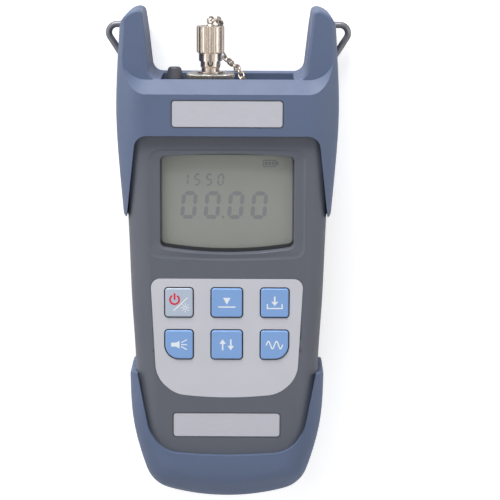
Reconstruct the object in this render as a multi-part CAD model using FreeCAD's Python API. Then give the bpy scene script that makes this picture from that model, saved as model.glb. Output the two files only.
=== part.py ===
import FreeCAD, Part
import math
import os

from FreeCAD import Rotation, Vector

# A handheld optical power meter, lying on its back.
# X runs across the meter, Y along it towards the optical port, Z up out of the
# display. The origin is under the middle of the meter, on the plane it rests on.
# Lengths are in millimetres and angles in degrees.

# ---------------------------------------------------------------- case
LENGTH = 195.5                # over the rubber boots
FRONT = 41.5                  # front of the rubber boots
CASE_FRONT = 39.0
CASE_BACK = 4.5
CASE_TOP = 66.7               # end with the optical port
PRONG_REACH = 32.8            # from there to the tips of the prongs
BOTTOM_BOOT_END = 4.7         # end wall of the bottom boot
TOP_END = CASE_TOP + PRONG_REACH
BOTTOM_END = TOP_END - LENGTH
MIDDLE = (TOP_END + BOTTOM_END) / 2
CASE_BOTTOM = BOTTOM_END + BOTTOM_BOOT_END
PARTING = 21.5                # where the front and rear housings meet
CASE_WALL = 2.2
CASE_CORNER = 10.0
CASE_EDGE = 8.5
BOTTOM_BOW = 80.0             # radius of the bowed lower end
FALL_START = BOTTOM_END + 16.5  # the front falls away below here
FALL_RADIUS = 45.0
# Half width of the case at stations along it
CASE_SIDES = [(CASE_TOP + 43.3, 36.3), (CASE_TOP + 19.3, 38.2), (CASE_TOP - 6.7, 40.3),
              (CASE_TOP - 30.7, 39.9), (CASE_TOP - 52.7, 38.8), (-18.0, 37.55),
              (BOTTOM_END + 56.0, 36.3), (BOTTOM_END + 40.0, 35.85), (BOTTOM_END + 30.0, 34.8),
              (BOTTOM_END + 20.0, 32.5), (BOTTOM_END + 10.0, 29.2), (BOTTOM_END + 1.0, 25.2),
              (BOTTOM_END - 14.0, 16.5)]
BOOT_STATIONS = 6             # how many of them, from the top, the top boot runs past

# ---------------------------------------------------------------- rubber boots
BOOT_FIT = 0.12               # gap between a boot and the case
BOOT_CORNER = 13.0
BOOT_FRONT_EDGE = 12.0
BOOT_BACK_EDGE = 9.0
TOP_BOOT_WALL = 3.2           # side wall at the label
TOP_ARM_WALL = 1.7            # side wall at the arm tips
TOP_WINDOW = 51.0             # edge of the top boot across the case
TOP_ARM_END = 18.4
TOP_WINDOW_HALF = 35.6
TOP_WINDOW_CORNER = 5.0
ARM_LEAN = 0.115              # how fast the arms narrow towards their tips
BOTTOM_BOOT_WALL = 2.4
BOTTOM_WINDOW = BOTTOM_END + 19.2
BOTTOM_WINDOW_BOW = 1.5
BOTTOM_WINDOW_TOP_HALF = 37.1
BOTTOM_WINDOW_HALF = 31.0
BOTTOM_WINDOW_FOOT_HALF = 25.5
BOTTOM_WINDOW_CORNER = 8.6    # how far up the sides the lower corners start
BOTTOM_WINDOW_ROUND = 13.0
BOTTOM_ARM_END = BOTTOM_END + 51.8
ARM_TIP_CORNER = 9.0          # how far past the arm tips the open face runs
ARM_TIP_ROUND = 4.2
ARM_TIP_SIDE_ROUND = 1.5      # of their outer corners, seen from the front

# ---------------------------------------------------------------- prongs and well
PRONG_FLOOR = 72.5            # floor of the bay between the prongs
PRONG_CORNER = 4.3
BAY_HALF = 30.0               # half width of the bay at its floor
BAY_SPLAY = 0.112
PRONG_FRONT = 36.3
PRONG_FOOT_HALF = 41.0
PRONG_FOOT_CORNER = 9.5
PRONG_TIP_FLAT = 33.0
PRONG_TIP_RADIUS = 9.2
PRONG_BACK_ROUND = 12.0
PRONG_TIP_CORNER = 2.2        # inner corner of each tip
PRONG_RIM = 1.2               # round edge of their front towards the bay
WELL_HALF = 25.8
WELL_BACK = 10.7
WELL_FRONT = 35.9
WELL_CORNER = 2.0

# ---------------------------------------------------------------- end panel
PANEL_THICKNESS = 2.5
PANEL_MARGIN = 1.6            # how far the panel reaches past the well
PANEL_FIT = 0.15

# ---------------------------------------------------------------- display
DISH_HALF = 30.5
DISH_LOW = 1.7
DISH_HIGH = 45.9
DISH_CORNER = 5.0
DISH_DEPTH = 2.4
WINDOW_HALF = 26.3
WINDOW_LOW = 4.8
WINDOW_HIGH = 43.8
WINDOW_CORNER = 2.5
WINDOW_THICKNESS = 1.5
WINDOW_FIT = 0.1
WINDOW_LEDGE = 0.8
FRAME_MARGIN = 2.0            # moulded frame behind the window
FRAME_DEPTH = 0.8
LCD_THICKNESS = 2.9
LCD_MARGIN = 2.2
BACKLIGHT_MARGIN = 1.4
STRIP_WIDTH = 1.1
STACK_GAP = 0.1

# ---------------------------------------------------------------- keypad
BEZEL_THICKNESS = 1.0
BEZEL_FIT = 0.15
BEZEL_TOP = -5.5
BEZEL_TOP_HALF = 30.0
BEZEL_LOW_HALF = 27.9
BEZEL_LOW = -45.4             # where the sides turn in
BEZEL_BOTTOM = -53.4
BEZEL_FOOT_HALF = 20.5
BEZEL_FOOT = -52.0
BEZEL_TOP_CORNER = 3.6
BEZEL_LOW_CORNER = 12.0
BEZEL_FOOT_CORNER = 12.0
KEY_PITCH_X = 18.8
KEY_ROWS = (-15.0, -31.9)
KEY_OUTER_WIDTH = 10.8
KEY_MIDDLE_WIDTH = 12.0
KEY_HEIGHT = 11.4
KEY_CORNER = 1.1
KEY_SWEPT_CORNER = 5.4        # the two lower outer corners
KEY_GAP = 0.5
KEY_PROUD = 0.6
KEY_TRAVEL = 0.8
KEY_EDGE = 0.5
KEY_FLANGE = 1.0
KEY_PLUNGER = 5.0
KEY_PLUNGER_LENGTH = 4.0
MEMBRANE_THICKNESS = 1.0
MEMBRANE_MARGIN = 3.0

# ---------------------------------------------------------------- plates
PLATE_THICKNESS = 0.5
PLATE_FIT = 0.15
PLATE_SUNK = 0.2
NAME_PLATE = (43.2, 10.6)
NAME_PLATE_Y = 59.6
LOWER_PLATE = (42.6, 10.0)
LOWER_PLATE_Y = BOTTOM_END + 31.3
PLATE_CORNER = 1.4

# ---------------------------------------------------------------- boards
BOARD_THICKNESS = 1.6
BOARD_HALF = 31.5
BOARD_TOP = 52.6
BOARD_BOTTOM = BOTTOM_END + 34.5
BOARD_CORNER = 3.0
BOARD_SCREWS = [(24.0, BOARD_TOP - 3.0), (24.0, BOARD_BOTTOM + 3.5)]
BOARD_SCREW = 2.5
BOARD_SCREW_HEAD = 4.6
BOARD_SCREW_HEAD_HEIGHT = 1.6
BOARD_SCREW_GRIP = 5.0
CHIP = 12.0
CHIP_THICKNESS = 1.4
CHIP_PLACE = (-14.0, 26.0)
BUZZER = 10.0
BUZZER_HEIGHT = 4.5
BUZZER_PLACE = (16.0, 14.0)

# ---------------------------------------------------------------- batteries
CELL = 14.2
CELL_LENGTH = 50.0
CELL_NUB = 5.2
CELL_NUB_LENGTH = 1.0
CELL_PITCH = 15.0
CELL_TOP = -4.4               # positive end of the cells
CONTACT_THICKNESS = 0.4
CONTACT_WIDTH = 9.0
CONTACT_BOW = 1.6
BAY_WALL = 1.5
BAY_SIDE_GAP = 0.5
DOOR_THICKNESS = 2.0
DOOR_FIT = 0.25
DOOR_LEDGE = 1.6
DOOR_PIN = 2.0
DOOR_PIN_LENGTH = 2.4
DOOR_PIN_FIT = 0.06
DOOR_RIBS = 6
DOOR_RIB_PITCH = 2.2
DOOR_RIB = 0.9
DOOR_RIB_HALF = 9.0           # half length of a rib
DOOR_RIBS_FROM = 5.0          # from the door's free edge to the first rib
THUMB_RADIUS = 7.0            # of the hollow to get a nail under the door
THUMB_ASIDE = 3.0
THUMB_BELOW = 4.2

# ---------------------------------------------------------------- optical port
PORT_X = -6.85
PORT_Z = 21.7
PORT_THREAD = 14.0
PORT_TOP = 71.0
PORT_FLANGE = 17.0
PORT_FLANGE_THICKNESS = 1.2
PORT_TAIL = 2.4               # how far the port reaches in behind the panel
PORT_NUT = 17.5
PORT_NUT_THICKNESS = 1.9
PORT_BORE = 3.0
DIODE_CAN = 4.7
DIODE_CAN_LENGTH = 2.6
DIODE_FLANGE = 5.5
DIODE_FLANGE_THICKNESS = 0.5
DIODE_LEAD = 0.45
DIODE_LEADS = [(1.27, 0), (-1.27, 0), (0, 1.27)]
DIODE_LEAD_LENGTH = 3.0
DETECTOR_BOARD = (22.0, 17.0)
NUT_DIAMETER = 19.3
NUT_BOTTOM = 68.1
NUT_TOP = 73.7
NUT_ROOF = 1.2
TURN_FIT = 0.06               # radial gap of turning and sliding fits
ADAPTER_NECK = 8.4
ADAPTER_FLANGE = 10.3
ADAPTER_FLANGE_THICKNESS = 0.5
CLIP_DIAMETER = 12.4
CLIP_THICKNESS = 0.8
CLIP_GROOVE = 0.5
SPIGOT = 7.9                  # M8 x 0.75
SPIGOT_TOP = 86.0
SPIGOT_NECK = 7.1
SPIGOT_NECK_LENGTH = 1.4
SPIGOT_BORE = 6.1
KEYWAY = 2.2
KEYWAY_BOTTOM = 76.4
POST = 4.4
POST_TOP = 83.5
SLEEVE = 3.2
FERRULE = 2.5
SLEEVE_FIT = 0.03
SLEEVE_SLIT = 0.4

# ---------------------------------------------------------------- dust cap
CAP_BOTTOM = 78.4
CAP_COLLAR = 9.2
CAP_GRIP = 11.0
CAP_GRIP_BOTTOM = 81.4
CAP_TOP = 92.1
CAP_ROOF = 1.5
CAP_FLUTES = 18
CAP_FLUTE = 1.2
CAP_FLUTE_DEPTH = 0.5
CAP_CHAMFER = 0.6
RIVET = 1.6
RIVET_HEAD = 3.4
EYE_RADIUS = 1.5
EYE_WIRE = 0.9

# ---------------------------------------------------------------- chain
LINK_LENGTH = 4.2
LINK_WIDTH = 3.0
LINK_WIRE = 0.8
LINK_PLAY = 0.15
EYE_NORMAL = Vector(1, 0, 1).normalize()
CHAIN_ROUTE = [Vector(-4.4, 94.3, 19.2), Vector(-3.2, 93.6, 16.4), Vector(-3.2, 90.9, 13.8),
               Vector(-3.6, 86.6, 12.7), Vector(-3.3, 82.2, 12.7), Vector(-0.9, 78.6, 14.0),
               Vector(2.4, 76.3, 17.0), Vector(4.5, 74.3, 20.8), Vector(5.7, 71.8, 23.7)]
LUG_ASIDE = 13.45             # the lug's eye, seen from the port's axis
LUG_FORWARD = 2.9
LUG_RISE = 2.6
LUG_EYE = Vector(PORT_X + LUG_ASIDE, CASE_TOP + LUG_RISE, PORT_Z + LUG_FORWARD)
LUG_NORMAL = Vector(1, 0, -1).normalize()
LUG_HOLE = 2.2
LUG_WIDTH = 3.4
LUG_PAD = 4.6
LUG_THICKNESS = 0.6
LUG_TO_SCREW = 4.6            # from the upright eye to the anchor screw
LUG_SCREW = 2.0
LUG_SCREW_HEAD = 3.8
LUG_SCREW_HEAD_HEIGHT = 1.1

# ---------------------------------------------------------------- torch
TORCH_X = -20.9
TORCH_TOP = 75.9
TORCH_COLLAR = 7.0
TORCH_SHOULDER = 5.0          # how far out of the panel its taper starts
TORCH_COLLAR_TOP = 5.1
TORCH_LIP = 8.4
LED_DIAMETER = 3.0
LED_SUNK = 1.2
LED_LEAD = 0.5
LED_LEAD_HALF = 1.2           # half the distance between the leads
LED_LEAD_LENGTH = 6.0

# ---------------------------------------------------------------- bail
BAIL_ROD = 2.6
BAIL_Y = 91.4
BAIL_Z = 5.2
BAIL_OUT = 47.8               # rod centre where the bail stands out furthest
BAIL_BEND = 3.3
BAIL_LEAN = 32.5              # of its legs from the meter's length
BAIL_REACH = 49.5             # from pivot to the cross bar
BAIL_CROSS_BEND = 6.0
BAIL_CROSS_Z = 1.9
BAIL_PIN_DEPTH = 7.5
BAIL_GROOVE = 4.4
BAIL_GROOVE_GAP = 0.4

# ---------------------------------------------------------------- screws
SCREW_PLACES = [(32.0, 36.0), (26.0, BOTTOM_END + 29.2)]
SCREW = 2.9
SCREW_HEAD = 5.6
SCREW_HEAD_HEIGHT = 2.2
SCREW_SUNK = 0.6
SCREW_LENGTH = 22.0
SCREW_SHOULDER = 8.0          # depth of wall left under the head
SCREW_FIT = 0.1
SCREW_ROOM = 0.3               # gap round a screw's head and in a clearance hole
SCREW_SLOT = 0.7
SCREW_CROSS = 3.0
BOSS = 6.4
REACH = 60.0                  # half size of cutting blocks, beyond the meter's sides

OVERRUN = 10.0                # how far cutting shapes run on past the ends
BACK = 0.0


# ---------------------------------------------------------------- building blocks
def block(x0, x1, y0, y1, z0, z1):
    return Part.makeBox(x1 - x0, y1 - y0, z1 - z0, Vector(x0, y0, z0))


def rod(x, z, y0, y1, diameter):
    """A cylinder along Y."""
    return Part.makeCylinder(diameter / 2, y1 - y0, Vector(x, y0, z), Vector(0, 1, 0))


def post(x, y, z0, z1, diameter):
    """A cylinder along Z."""
    return Part.makeCylinder(diameter / 2, z1 - z0, Vector(x, y, z0))


def cross_pin(x0, x1, y, z, diameter):
    """A cylinder along X."""
    return Part.makeCylinder(diameter / 2, x1 - x0, Vector(x0, y, z), Vector(1, 0, 0))


def line(a, b):
    return Part.LineSegment(a, b).toShape()


def arc(a, b, c):
    return Part.Arc(a, b, c).toShape()


def prism(edges, direction):
    """The solid swept by a closed flat outline along a vector."""
    return Part.Face(Part.Wire(edges)).extrude(direction)


def polygon(points):
    return [line(a, b) for a, b in zip(points, points[1:] + points[:1])]


def round_corners(solid, radius, keep):
    """Rounds the edges along Z whose middle passes the test `keep`."""
    edges = [e for e in solid.Edges
             if abs(e.tangentAt(e.FirstParameter).z) > 0.999 and keep(e.CenterOfMass)]
    return solid.makeFillet(radius, edges)


def everywhere(point):
    return True


def rounded_slab(x0, x1, y0, y1, z0, z1, radius):
    return round_corners(block(x0, x1, y0, y1, z0, z1), radius, everywhere)


def turned(x, z, profile):
    """A part turned about the line along Y through (x, z), from (radius, y) points."""
    corners = [Vector(x + r, y, z) for r, y in profile]
    face = Part.Face(Part.Wire(polygon(corners)))
    return face.revolve(Vector(x, 0, z), Vector(0, 1, 0), 360)


def mirrored(shape):
    return shape.mirror(Vector(0, 0, 0), Vector(1, 0, 0))


def both_sides(shape):
    return [shape, mirrored(shape)]


def fuse(first, *others):
    return first.multiFuse(list(others)).removeSplitter()


def export(name, shape):
    """Writes a part, moved so that the origin is under the meter's middle."""
    placed = shape.copy()
    placed.translate(Vector(0, -MIDDLE, 0))
    placed.exportStep("parts/" + name + ".step")


# ---------------------------------------------------------------- case form
def side_points(side, extra, low):
    return [Vector(side * (half + extra(y)), y, 0) for y, half in CASE_SIDES if y >= low]


def strip(extra, z0, z1, low=-2 * LENGTH):
    """The meter's plan between its two curved sides, with no ends."""
    right = Part.BSplineCurve()
    right.interpolate(side_points(1, extra, low))
    left = Part.BSplineCurve()
    left.interpolate(side_points(-1, extra, low))
    top_right, bottom_right = right.StartPoint, right.EndPoint
    top_left, bottom_left = left.StartPoint, left.EndPoint
    edges = [right.toShape(), line(bottom_right, bottom_left), left.toShape(),
             line(top_left, top_right)]
    outline = Part.Wire(Part.__sortEdges__(edges))
    outline.translate(Vector(0, 0, z0))
    return Part.Face(outline).extrude(Vector(0, 0, z1 - z0))


def bowed_band(top, bottom, bow, z0, z1):
    """A block whose lower end bows out with the radius `bow`."""
    corner = bottom + bow - math.sqrt(bow ** 2 - REACH ** 2)
    edges = [line(Vector(REACH, corner, z0), Vector(REACH, top, z0)),
             line(Vector(REACH, top, z0), Vector(-REACH, top, z0)),
             line(Vector(-REACH, top, z0), Vector(-REACH, corner, z0)),
             arc(Vector(-REACH, corner, z0), Vector(0, bottom, z0), Vector(REACH, corner, z0))]
    return prism(edges, Vector(0, 0, z1 - z0))


def fallen_front(top, front, back, fall):
    """A block whose front falls away in an arc towards the lower end."""
    low = BOTTOM_END - CASE_EDGE

    def level(y):
        return front - fall + math.sqrt(fall ** 2 - (FALL_START - y) ** 2)

    half_way = (FALL_START + low) / 2
    points = [Vector(-REACH, low, back), Vector(-REACH, top, back), Vector(-REACH, top, front),
              Vector(-REACH, FALL_START, front), Vector(-REACH, low, level(low))]
    edges = [line(points[0], points[1]), line(points[1], points[2]), line(points[2], points[3]),
             arc(points[3], Vector(-REACH, half_way, level(half_way)), points[4]),
             line(points[4], points[0])]
    return prism(edges, Vector(2 * REACH, 0, 0))


def rim_edges(solid, front):
    """The edges round the front (or back) face, without the seam where the front falls."""
    middle = (FRONT + BACK) / 2
    found = []
    for edge in solid.Edges:
        points = edge.discretize(5)
        if not all((p.z > middle) == front for p in points):
            continue
        seam = max(abs(p.y - FALL_START) for p in points) < 0.01
        if not seam:
            found.append(edge)
    return found


def moulded(extra, end, front, back, corner, front_edge, back_edge):
    """A case-shaped solid: curved sides, bowed lower end, falling front and round edges."""
    solid = strip(extra, back - 1, front + 1)
    solid = solid.common(bowed_band(CASE_TOP + end, CASE_BOTTOM - end, BOTTOM_BOW + end,
                                    back - 1, front + 1))
    solid = solid.common(fallen_front(CASE_TOP + end, front, back, FALL_RADIUS + front - CASE_FRONT))
    solid = round_corners(solid, corner, everywhere)
    solid = solid.makeFillet(front_edge, rim_edges(solid, True))
    return solid.makeFillet(back_edge, rim_edges(solid, False))


def case_form(grow):
    """The case's outside, grown by `grow` on every side."""
    return moulded(lambda y: grow, grow, CASE_FRONT + grow, CASE_BACK - grow,
                   CASE_CORNER + grow, CASE_EDGE + grow, CASE_EDGE + grow)


# ---------------------------------------------------------------- keypad outline
def bezel_outline(grow, z0, z1):
    top = BEZEL_TOP + grow
    foot_x, foot_y = BEZEL_FOOT_HALF + grow / 2, BEZEL_FOOT - grow
    bottom = BEZEL_BOTTOM - grow
    points = [Vector(0, bottom, z0), Vector(0, top, z0), Vector(BEZEL_TOP_HALF + grow, top, z0),
              Vector(BEZEL_LOW_HALF + grow, BEZEL_LOW, z0), Vector(foot_x, foot_y, z0)]
    bow = arc(points[-1], Vector(foot_x / 2, bottom + (foot_y - bottom) / 4, z0), points[0])
    right = prism([line(a, b) for a, b in zip(points, points[1:])] + [bow],
                  Vector(0, 0, z1 - z0))
    right = round_corners(right, BEZEL_TOP_CORNER, lambda p: p.x > 1 and p.y > BEZEL_TOP - 1)
    right = round_corners(right, BEZEL_LOW_CORNER, lambda p: abs(p.y - BEZEL_LOW) < 0.5)
    right = round_corners(right, BEZEL_FOOT_CORNER, lambda p: abs(p.y - BEZEL_FOOT) < 0.5 + grow)
    return fuse(right, mirrored(right))


KEYS = [("power_key", -1, 0), ("reference_key", 0, 0), ("save_key", 1, 0),
        ("light_key", -1, 1), ("unit_key", 0, 1), ("wavelength_key", 1, 1)]


def key_outline(column, row, grow, z0, z1):
    width = KEY_MIDDLE_WIDTH if column == 0 else KEY_OUTER_WIDTH
    x, y = column * KEY_PITCH_X, KEY_ROWS[row]
    half_x, half_y = width / 2 + grow, KEY_HEIGHT / 2 + grow
    solid = block(x - half_x, x + half_x, y - half_y, y + half_y, z0, z1)

    def swept(point):
        return row == 1 and column * (point.x - x) > 0 and point.y < y

    solid = round_corners(solid, KEY_CORNER + grow, lambda p: not swept(p))
    if row == 1 and column != 0:
        solid = round_corners(solid, KEY_SWEPT_CORNER + grow, swept)
    return solid


# ---------------------------------------------------------------- levels worked out
BEZEL_SEAT = CASE_FRONT - BEZEL_THICKNESS
INNER_FRONT = CASE_FRONT - CASE_WALL
INNER_BACK = CASE_BACK + CASE_WALL
WINDOW_FACE = CASE_FRONT - DISH_DEPTH
WINDOW_SEAT = WINDOW_FACE - WINDOW_THICKNESS
FRAME_BACK = WINDOW_SEAT - FRAME_DEPTH
LCD_FACE = FRAME_BACK - STACK_GAP
LCD_BACK = LCD_FACE - LCD_THICKNESS
KEY_SHOULDER = INNER_FRONT - STACK_GAP
KEY_FOOT = KEY_SHOULDER - KEY_FLANGE - KEY_PLUNGER_LENGTH
MEMBRANE_TOP = KEY_FOOT - KEY_TRAVEL - STACK_GAP
BOARD_FRONT = MEMBRANE_TOP - 2 * MEMBRANE_THICKNESS
BOARD_BACK = BOARD_FRONT - BOARD_THICKNESS
PANEL_BACK = CASE_TOP - PANEL_THICKNESS
PORT_BACK = PANEL_BACK - PORT_TAIL
CELL_Z = INNER_BACK + DOOR_THICKNESS - CASE_WALL + BAY_SIDE_GAP + CELL / 2
BAY_TOP = CELL_TOP + CELL_NUB_LENGTH + CONTACT_THICKNESS + STACK_GAP
BAY_BOTTOM = CELL_TOP - CELL_LENGTH - CONTACT_BOW - CONTACT_THICKNESS - STACK_GAP
BAY_HALF_WIDTH = CELL_PITCH + CELL / 2 + BAY_SIDE_GAP
BAY_CEILING = CELL_Z + CELL / 2 + BAY_SIDE_GAP
DOOR_TOP = BAY_TOP + DOOR_LEDGE
DOOR_HALF = BAY_HALF_WIDTH + DOOR_LEDGE
DOOR_AXIS_Y = BAY_BOTTOM - DOOR_LEDGE
DOOR_AXIS_Z = CASE_BACK + DOOR_THICKNESS / 2


# ---------------------------------------------------------------- housings
def display_dish():
    """The bevelled recess round the window, wide at the face."""
    low = rounded_rectangle(WINDOW_HALF, WINDOW_LOW, WINDOW_HIGH, WINDOW_CORNER, WINDOW_FACE)
    high = rounded_rectangle(DISH_HALF, DISH_LOW, DISH_HIGH, DISH_CORNER, CASE_FRONT)
    return Part.makeLoft([low, high], True, True)


def rounded_rectangle(half, y0, y1, radius, z):
    solid = rounded_slab(-half, half, y0, y1, z, z + 1, radius)
    face = [f for f in solid.Faces if f.CenterOfMass.z < z + 0.01][0]
    return face.OuterWire


def window_slab(grow, z0, z1):
    return rounded_slab(-WINDOW_HALF - grow, WINDOW_HALF + grow, WINDOW_LOW - grow,
                        WINDOW_HIGH + grow, z0, z1, WINDOW_CORNER + grow)


def plate_slab(size, y, grow, z0, z1):
    half_x, half_y = size[0] / 2 + grow, size[1] / 2 + grow
    return rounded_slab(-half_x, half_x, y - half_y, y + half_y, z0, z1, PLATE_CORNER + grow)


def panel_slab(grow, y0, y1):
    half = WELL_HALF + PANEL_MARGIN + grow
    return block(-half, half, y0, y1, WELL_BACK - PANEL_MARGIN - grow,
                 WELL_FRONT - CASE_WALL + PANEL_MARGIN + grow)


def screw_spots():
    return [(side * x, y) for x, y in SCREW_PLACES for side in (-1, 1)]


def board_screw_spots():
    return [(side * x, y) for x, y in BOARD_SCREWS for side in (-1, 1)]


def front_housing():
    shell = case_form(0).cut(case_form(-CASE_WALL))
    shell = shell.common(block(-REACH, REACH, -REACH * 2, REACH * 2, PARTING, FRONT))
    half = WINDOW_HALF + FRAME_MARGIN
    frame = block(-half, half, WINDOW_LOW - FRAME_MARGIN, WINDOW_HIGH + FRAME_MARGIN,
                  FRAME_BACK, INNER_FRONT)
    bosses = [post(x, y, PARTING, INNER_FRONT, BOSS) for x, y in screw_spots()]
    bosses += [post(x, y, BOARD_FRONT, INNER_FRONT, BOSS - 1) for x, y in board_screw_spots()]
    shell = fuse(shell, frame, *bosses)
    cuts = [display_dish(),
            window_slab(WINDOW_FIT, WINDOW_SEAT, CASE_FRONT - DISH_DEPTH),
            window_slab(-WINDOW_LEDGE, FRAME_BACK - 1, WINDOW_SEAT),
            bezel_outline(BEZEL_FIT, BEZEL_SEAT, CASE_FRONT + 1),
            plate_slab(LOWER_PLATE, LOWER_PLATE_Y, PLATE_FIT,
                       CASE_FRONT - PLATE_SUNK - PLATE_THICKNESS, CASE_FRONT + 1),
            panel_slab(-PANEL_MARGIN, PANEL_BACK - CASE_WALL, CASE_TOP + 1),
            panel_slab(PANEL_FIT, PANEL_BACK - PANEL_FIT, CASE_TOP + 1)]
    cuts += [key_outline(column, row, KEY_GAP, KEY_SHOULDER - 1, FRONT) for _, column, row in KEYS]
    cuts += [post(x, y, PARTING, PARTING + SCREW_LENGTH - SCREW_SHOULDER, SCREW + 2 * SCREW_FIT)
             for x, y in screw_spots()]
    cuts += [post(x, y, BOARD_FRONT, INNER_FRONT - 1, BOARD_SCREW + 2 * SCREW_FIT)
             for x, y in board_screw_spots()]
    return shell.cut(Part.makeCompound(cuts))


def rear_housing():
    shell = case_form(0).cut(case_form(-CASE_WALL))
    shell = shell.common(block(-REACH, REACH, -REACH * 2, REACH * 2, BACK, PARTING))
    tub = block(-BAY_HALF_WIDTH - BAY_WALL, BAY_HALF_WIDTH + BAY_WALL, BAY_BOTTOM - BAY_WALL,
                BAY_TOP + BAY_WALL, INNER_BACK, BAY_CEILING + BAY_WALL)
    seat = block(-DOOR_HALF - BAY_WALL - DOOR_PIN_LENGTH, DOOR_HALF + BAY_WALL + DOOR_PIN_LENGTH,
                 DOOR_AXIS_Y - DOOR_THICKNESS - BAY_WALL, DOOR_TOP + BAY_WALL,
                 CASE_BACK + DOOR_THICKNESS, CASE_BACK + DOOR_THICKNESS + BAY_WALL)
    head_floor = CASE_BACK + SCREW_SUNK + SCREW_HEAD_HEIGHT
    bosses = [post(x, y, INNER_BACK, PARTING, BOSS + 2) for x, y in screw_spots()]
    shell = fuse(shell, tub, seat, *bosses)
    shell = shell.common(fuse(case_form(0).common(block(-REACH, REACH, -REACH * 2, REACH * 2,
                                                        BACK, PARTING)),
                              block(-DOOR_HALF, DOOR_HALF, -REACH * 2, REACH * 2,
                                    PARTING, FRONT)))
    hollow = block(-BAY_HALF_WIDTH, BAY_HALF_WIDTH, BAY_BOTTOM, BAY_TOP, BACK, BAY_CEILING)
    cuts = [hollow,
            door_recess(),
            panel_slab(-PANEL_MARGIN, PANEL_BACK - CASE_WALL, CASE_TOP + 1),
            panel_slab(PANEL_FIT, PANEL_BACK - PANEL_FIT, CASE_TOP + 1)]
    cuts += [post(x, y, BACK, head_floor, SCREW_HEAD + 2 * SCREW_ROOM) for x, y in screw_spots()]
    cuts += [post(x, y, BACK, PARTING + 1, SCREW + SCREW_ROOM) for x, y in screw_spots()]
    return shell.cut(Part.makeCompound(cuts))


def door_recess():
    """The opening that the battery door lies in, with its pin holes."""
    recess = block(-DOOR_HALF - DOOR_FIT, DOOR_HALF + DOOR_FIT, DOOR_AXIS_Y, DOOR_TOP + DOOR_FIT,
                   BACK, CASE_BACK + DOOR_THICKNESS + STACK_GAP)
    edge = cross_pin(-DOOR_HALF - DOOR_FIT, DOOR_HALF + DOOR_FIT, DOOR_AXIS_Y, DOOR_AXIS_Z,
                     DOOR_THICKNESS + 2 * DOOR_FIT)
    slot = block(-DOOR_HALF - DOOR_FIT, DOOR_HALF + DOOR_FIT,
                 DOOR_AXIS_Y - DOOR_THICKNESS / 2 - DOOR_FIT, DOOR_AXIS_Y, BACK, DOOR_AXIS_Z)
    reach = DOOR_HALF + DOOR_PIN_LENGTH + STACK_GAP
    pins = cross_pin(-reach, reach, DOOR_AXIS_Y, DOOR_AXIS_Z, DOOR_PIN + 2 * DOOR_PIN_FIT)
    thumb = Part.makeSphere(THUMB_RADIUS, Vector(0, DOOR_TOP + THUMB_ASIDE, CASE_BACK - THUMB_BELOW))
    return recess.fuse([edge, slot, pins, thumb])


def battery_door():
    plate = block(-DOOR_HALF, DOOR_HALF, DOOR_AXIS_Y, DOOR_TOP, CASE_BACK,
                  CASE_BACK + DOOR_THICKNESS)
    edge = cross_pin(-DOOR_HALF, DOOR_HALF, DOOR_AXIS_Y, DOOR_AXIS_Z, DOOR_THICKNESS)
    reach = DOOR_HALF + DOOR_PIN_LENGTH
    pins = cross_pin(-reach, reach, DOOR_AXIS_Y, DOOR_AXIS_Z, DOOR_PIN)
    first = DOOR_TOP - DOOR_RIBS_FROM
    ribs = [cross_pin(-DOOR_RIB_HALF, DOOR_RIB_HALF, first - n * DOOR_RIB_PITCH, CASE_BACK, DOOR_RIB)
            for n in range(DOOR_RIBS)]
    return fuse(plate, edge, pins).cut(Part.makeCompound(ribs))


def end_panel():
    panel = panel_slab(0, PANEL_BACK, CASE_TOP)
    holes = [rod(PORT_X, PORT_Z, PANEL_BACK - 1, CASE_TOP + 1, PORT_THREAD + 2 * TURN_FIT),
             rod(TORCH_X, PORT_Z, PANEL_BACK - 1, CASE_TOP + 1, TORCH_COLLAR + 2 * TURN_FIT),
             rod(anchor().x, anchor().z, PANEL_BACK - 1, CASE_TOP + 1,
                 LUG_SCREW + 2 * TURN_FIT)]
    return panel.cut(Part.makeCompound(holes))


# ---------------------------------------------------------------- rubber boots
def arm_window(edge, arm_end, half, corner, z0, z1):
    """The part of a boot's plan that is left open over the case, wide at the arm tips."""
    way = 1 if arm_end > edge else -1
    tip = arm_end + way * ARM_TIP_CORNER
    tip_half = half + ARM_LEAN * abs(tip - edge)
    points = [Vector(-half, edge, z0), Vector(-tip_half, tip, z0), Vector(tip_half, tip, z0),
              Vector(half, edge, z0)]
    solid = prism(polygon(points), Vector(0, 0, z1 - z0))
    return round_corners(solid, corner, lambda p: abs(p.y - edge) < 0.1)


def arm_profile(arm_end, far_end):
    """A boot seen from the side: full depth, with rounded ends to its arms."""
    low = BACK + ARM_TIP_CORNER / 2
    way = 1 if far_end > arm_end else -1
    start = arm_end + way * ARM_TIP_CORNER
    tongue = block(-REACH, REACH, min(arm_end, start), max(arm_end, start), low, FRONT)
    edges = [e for e in tongue.Edges
             if abs(e.tangentAt(e.FirstParameter).x) > 0.999
             and abs(e.CenterOfMass.y - arm_end) < 0.1]
    tongue = tongue.makeFillet(ARM_TIP_ROUND, edges)
    rest = block(-REACH, REACH, min(far_end, start), max(far_end, start), BACK - 1, FRONT + 1)
    return tongue.fuse(rest)


def tip_corners(arm_end, far_end, half):
    """What the round outer corners take off the two arm tips of a boot."""
    way = 1 if far_end > arm_end else -1
    x, y = half - ARM_TIP_SIDE_ROUND, arm_end + way * ARM_TIP_SIDE_ROUND
    before = arm_end - way
    corner = block(x, half + 1, min(before, y), max(before, y), BACK - 1, FRONT + 1)
    return both_sides(corner.cut(post(x, y, BACK - 1, FRONT + 1, 2 * ARM_TIP_SIDE_ROUND)))


def side_half(y):
    """Half width of the case at a place along it."""
    for (y1, w1), (y0, w0) in zip(CASE_SIDES, CASE_SIDES[1:]):
        if y0 <= y <= y1:
            return w0 + (w1 - w0) * (y - y0) / (y1 - y0)


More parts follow.
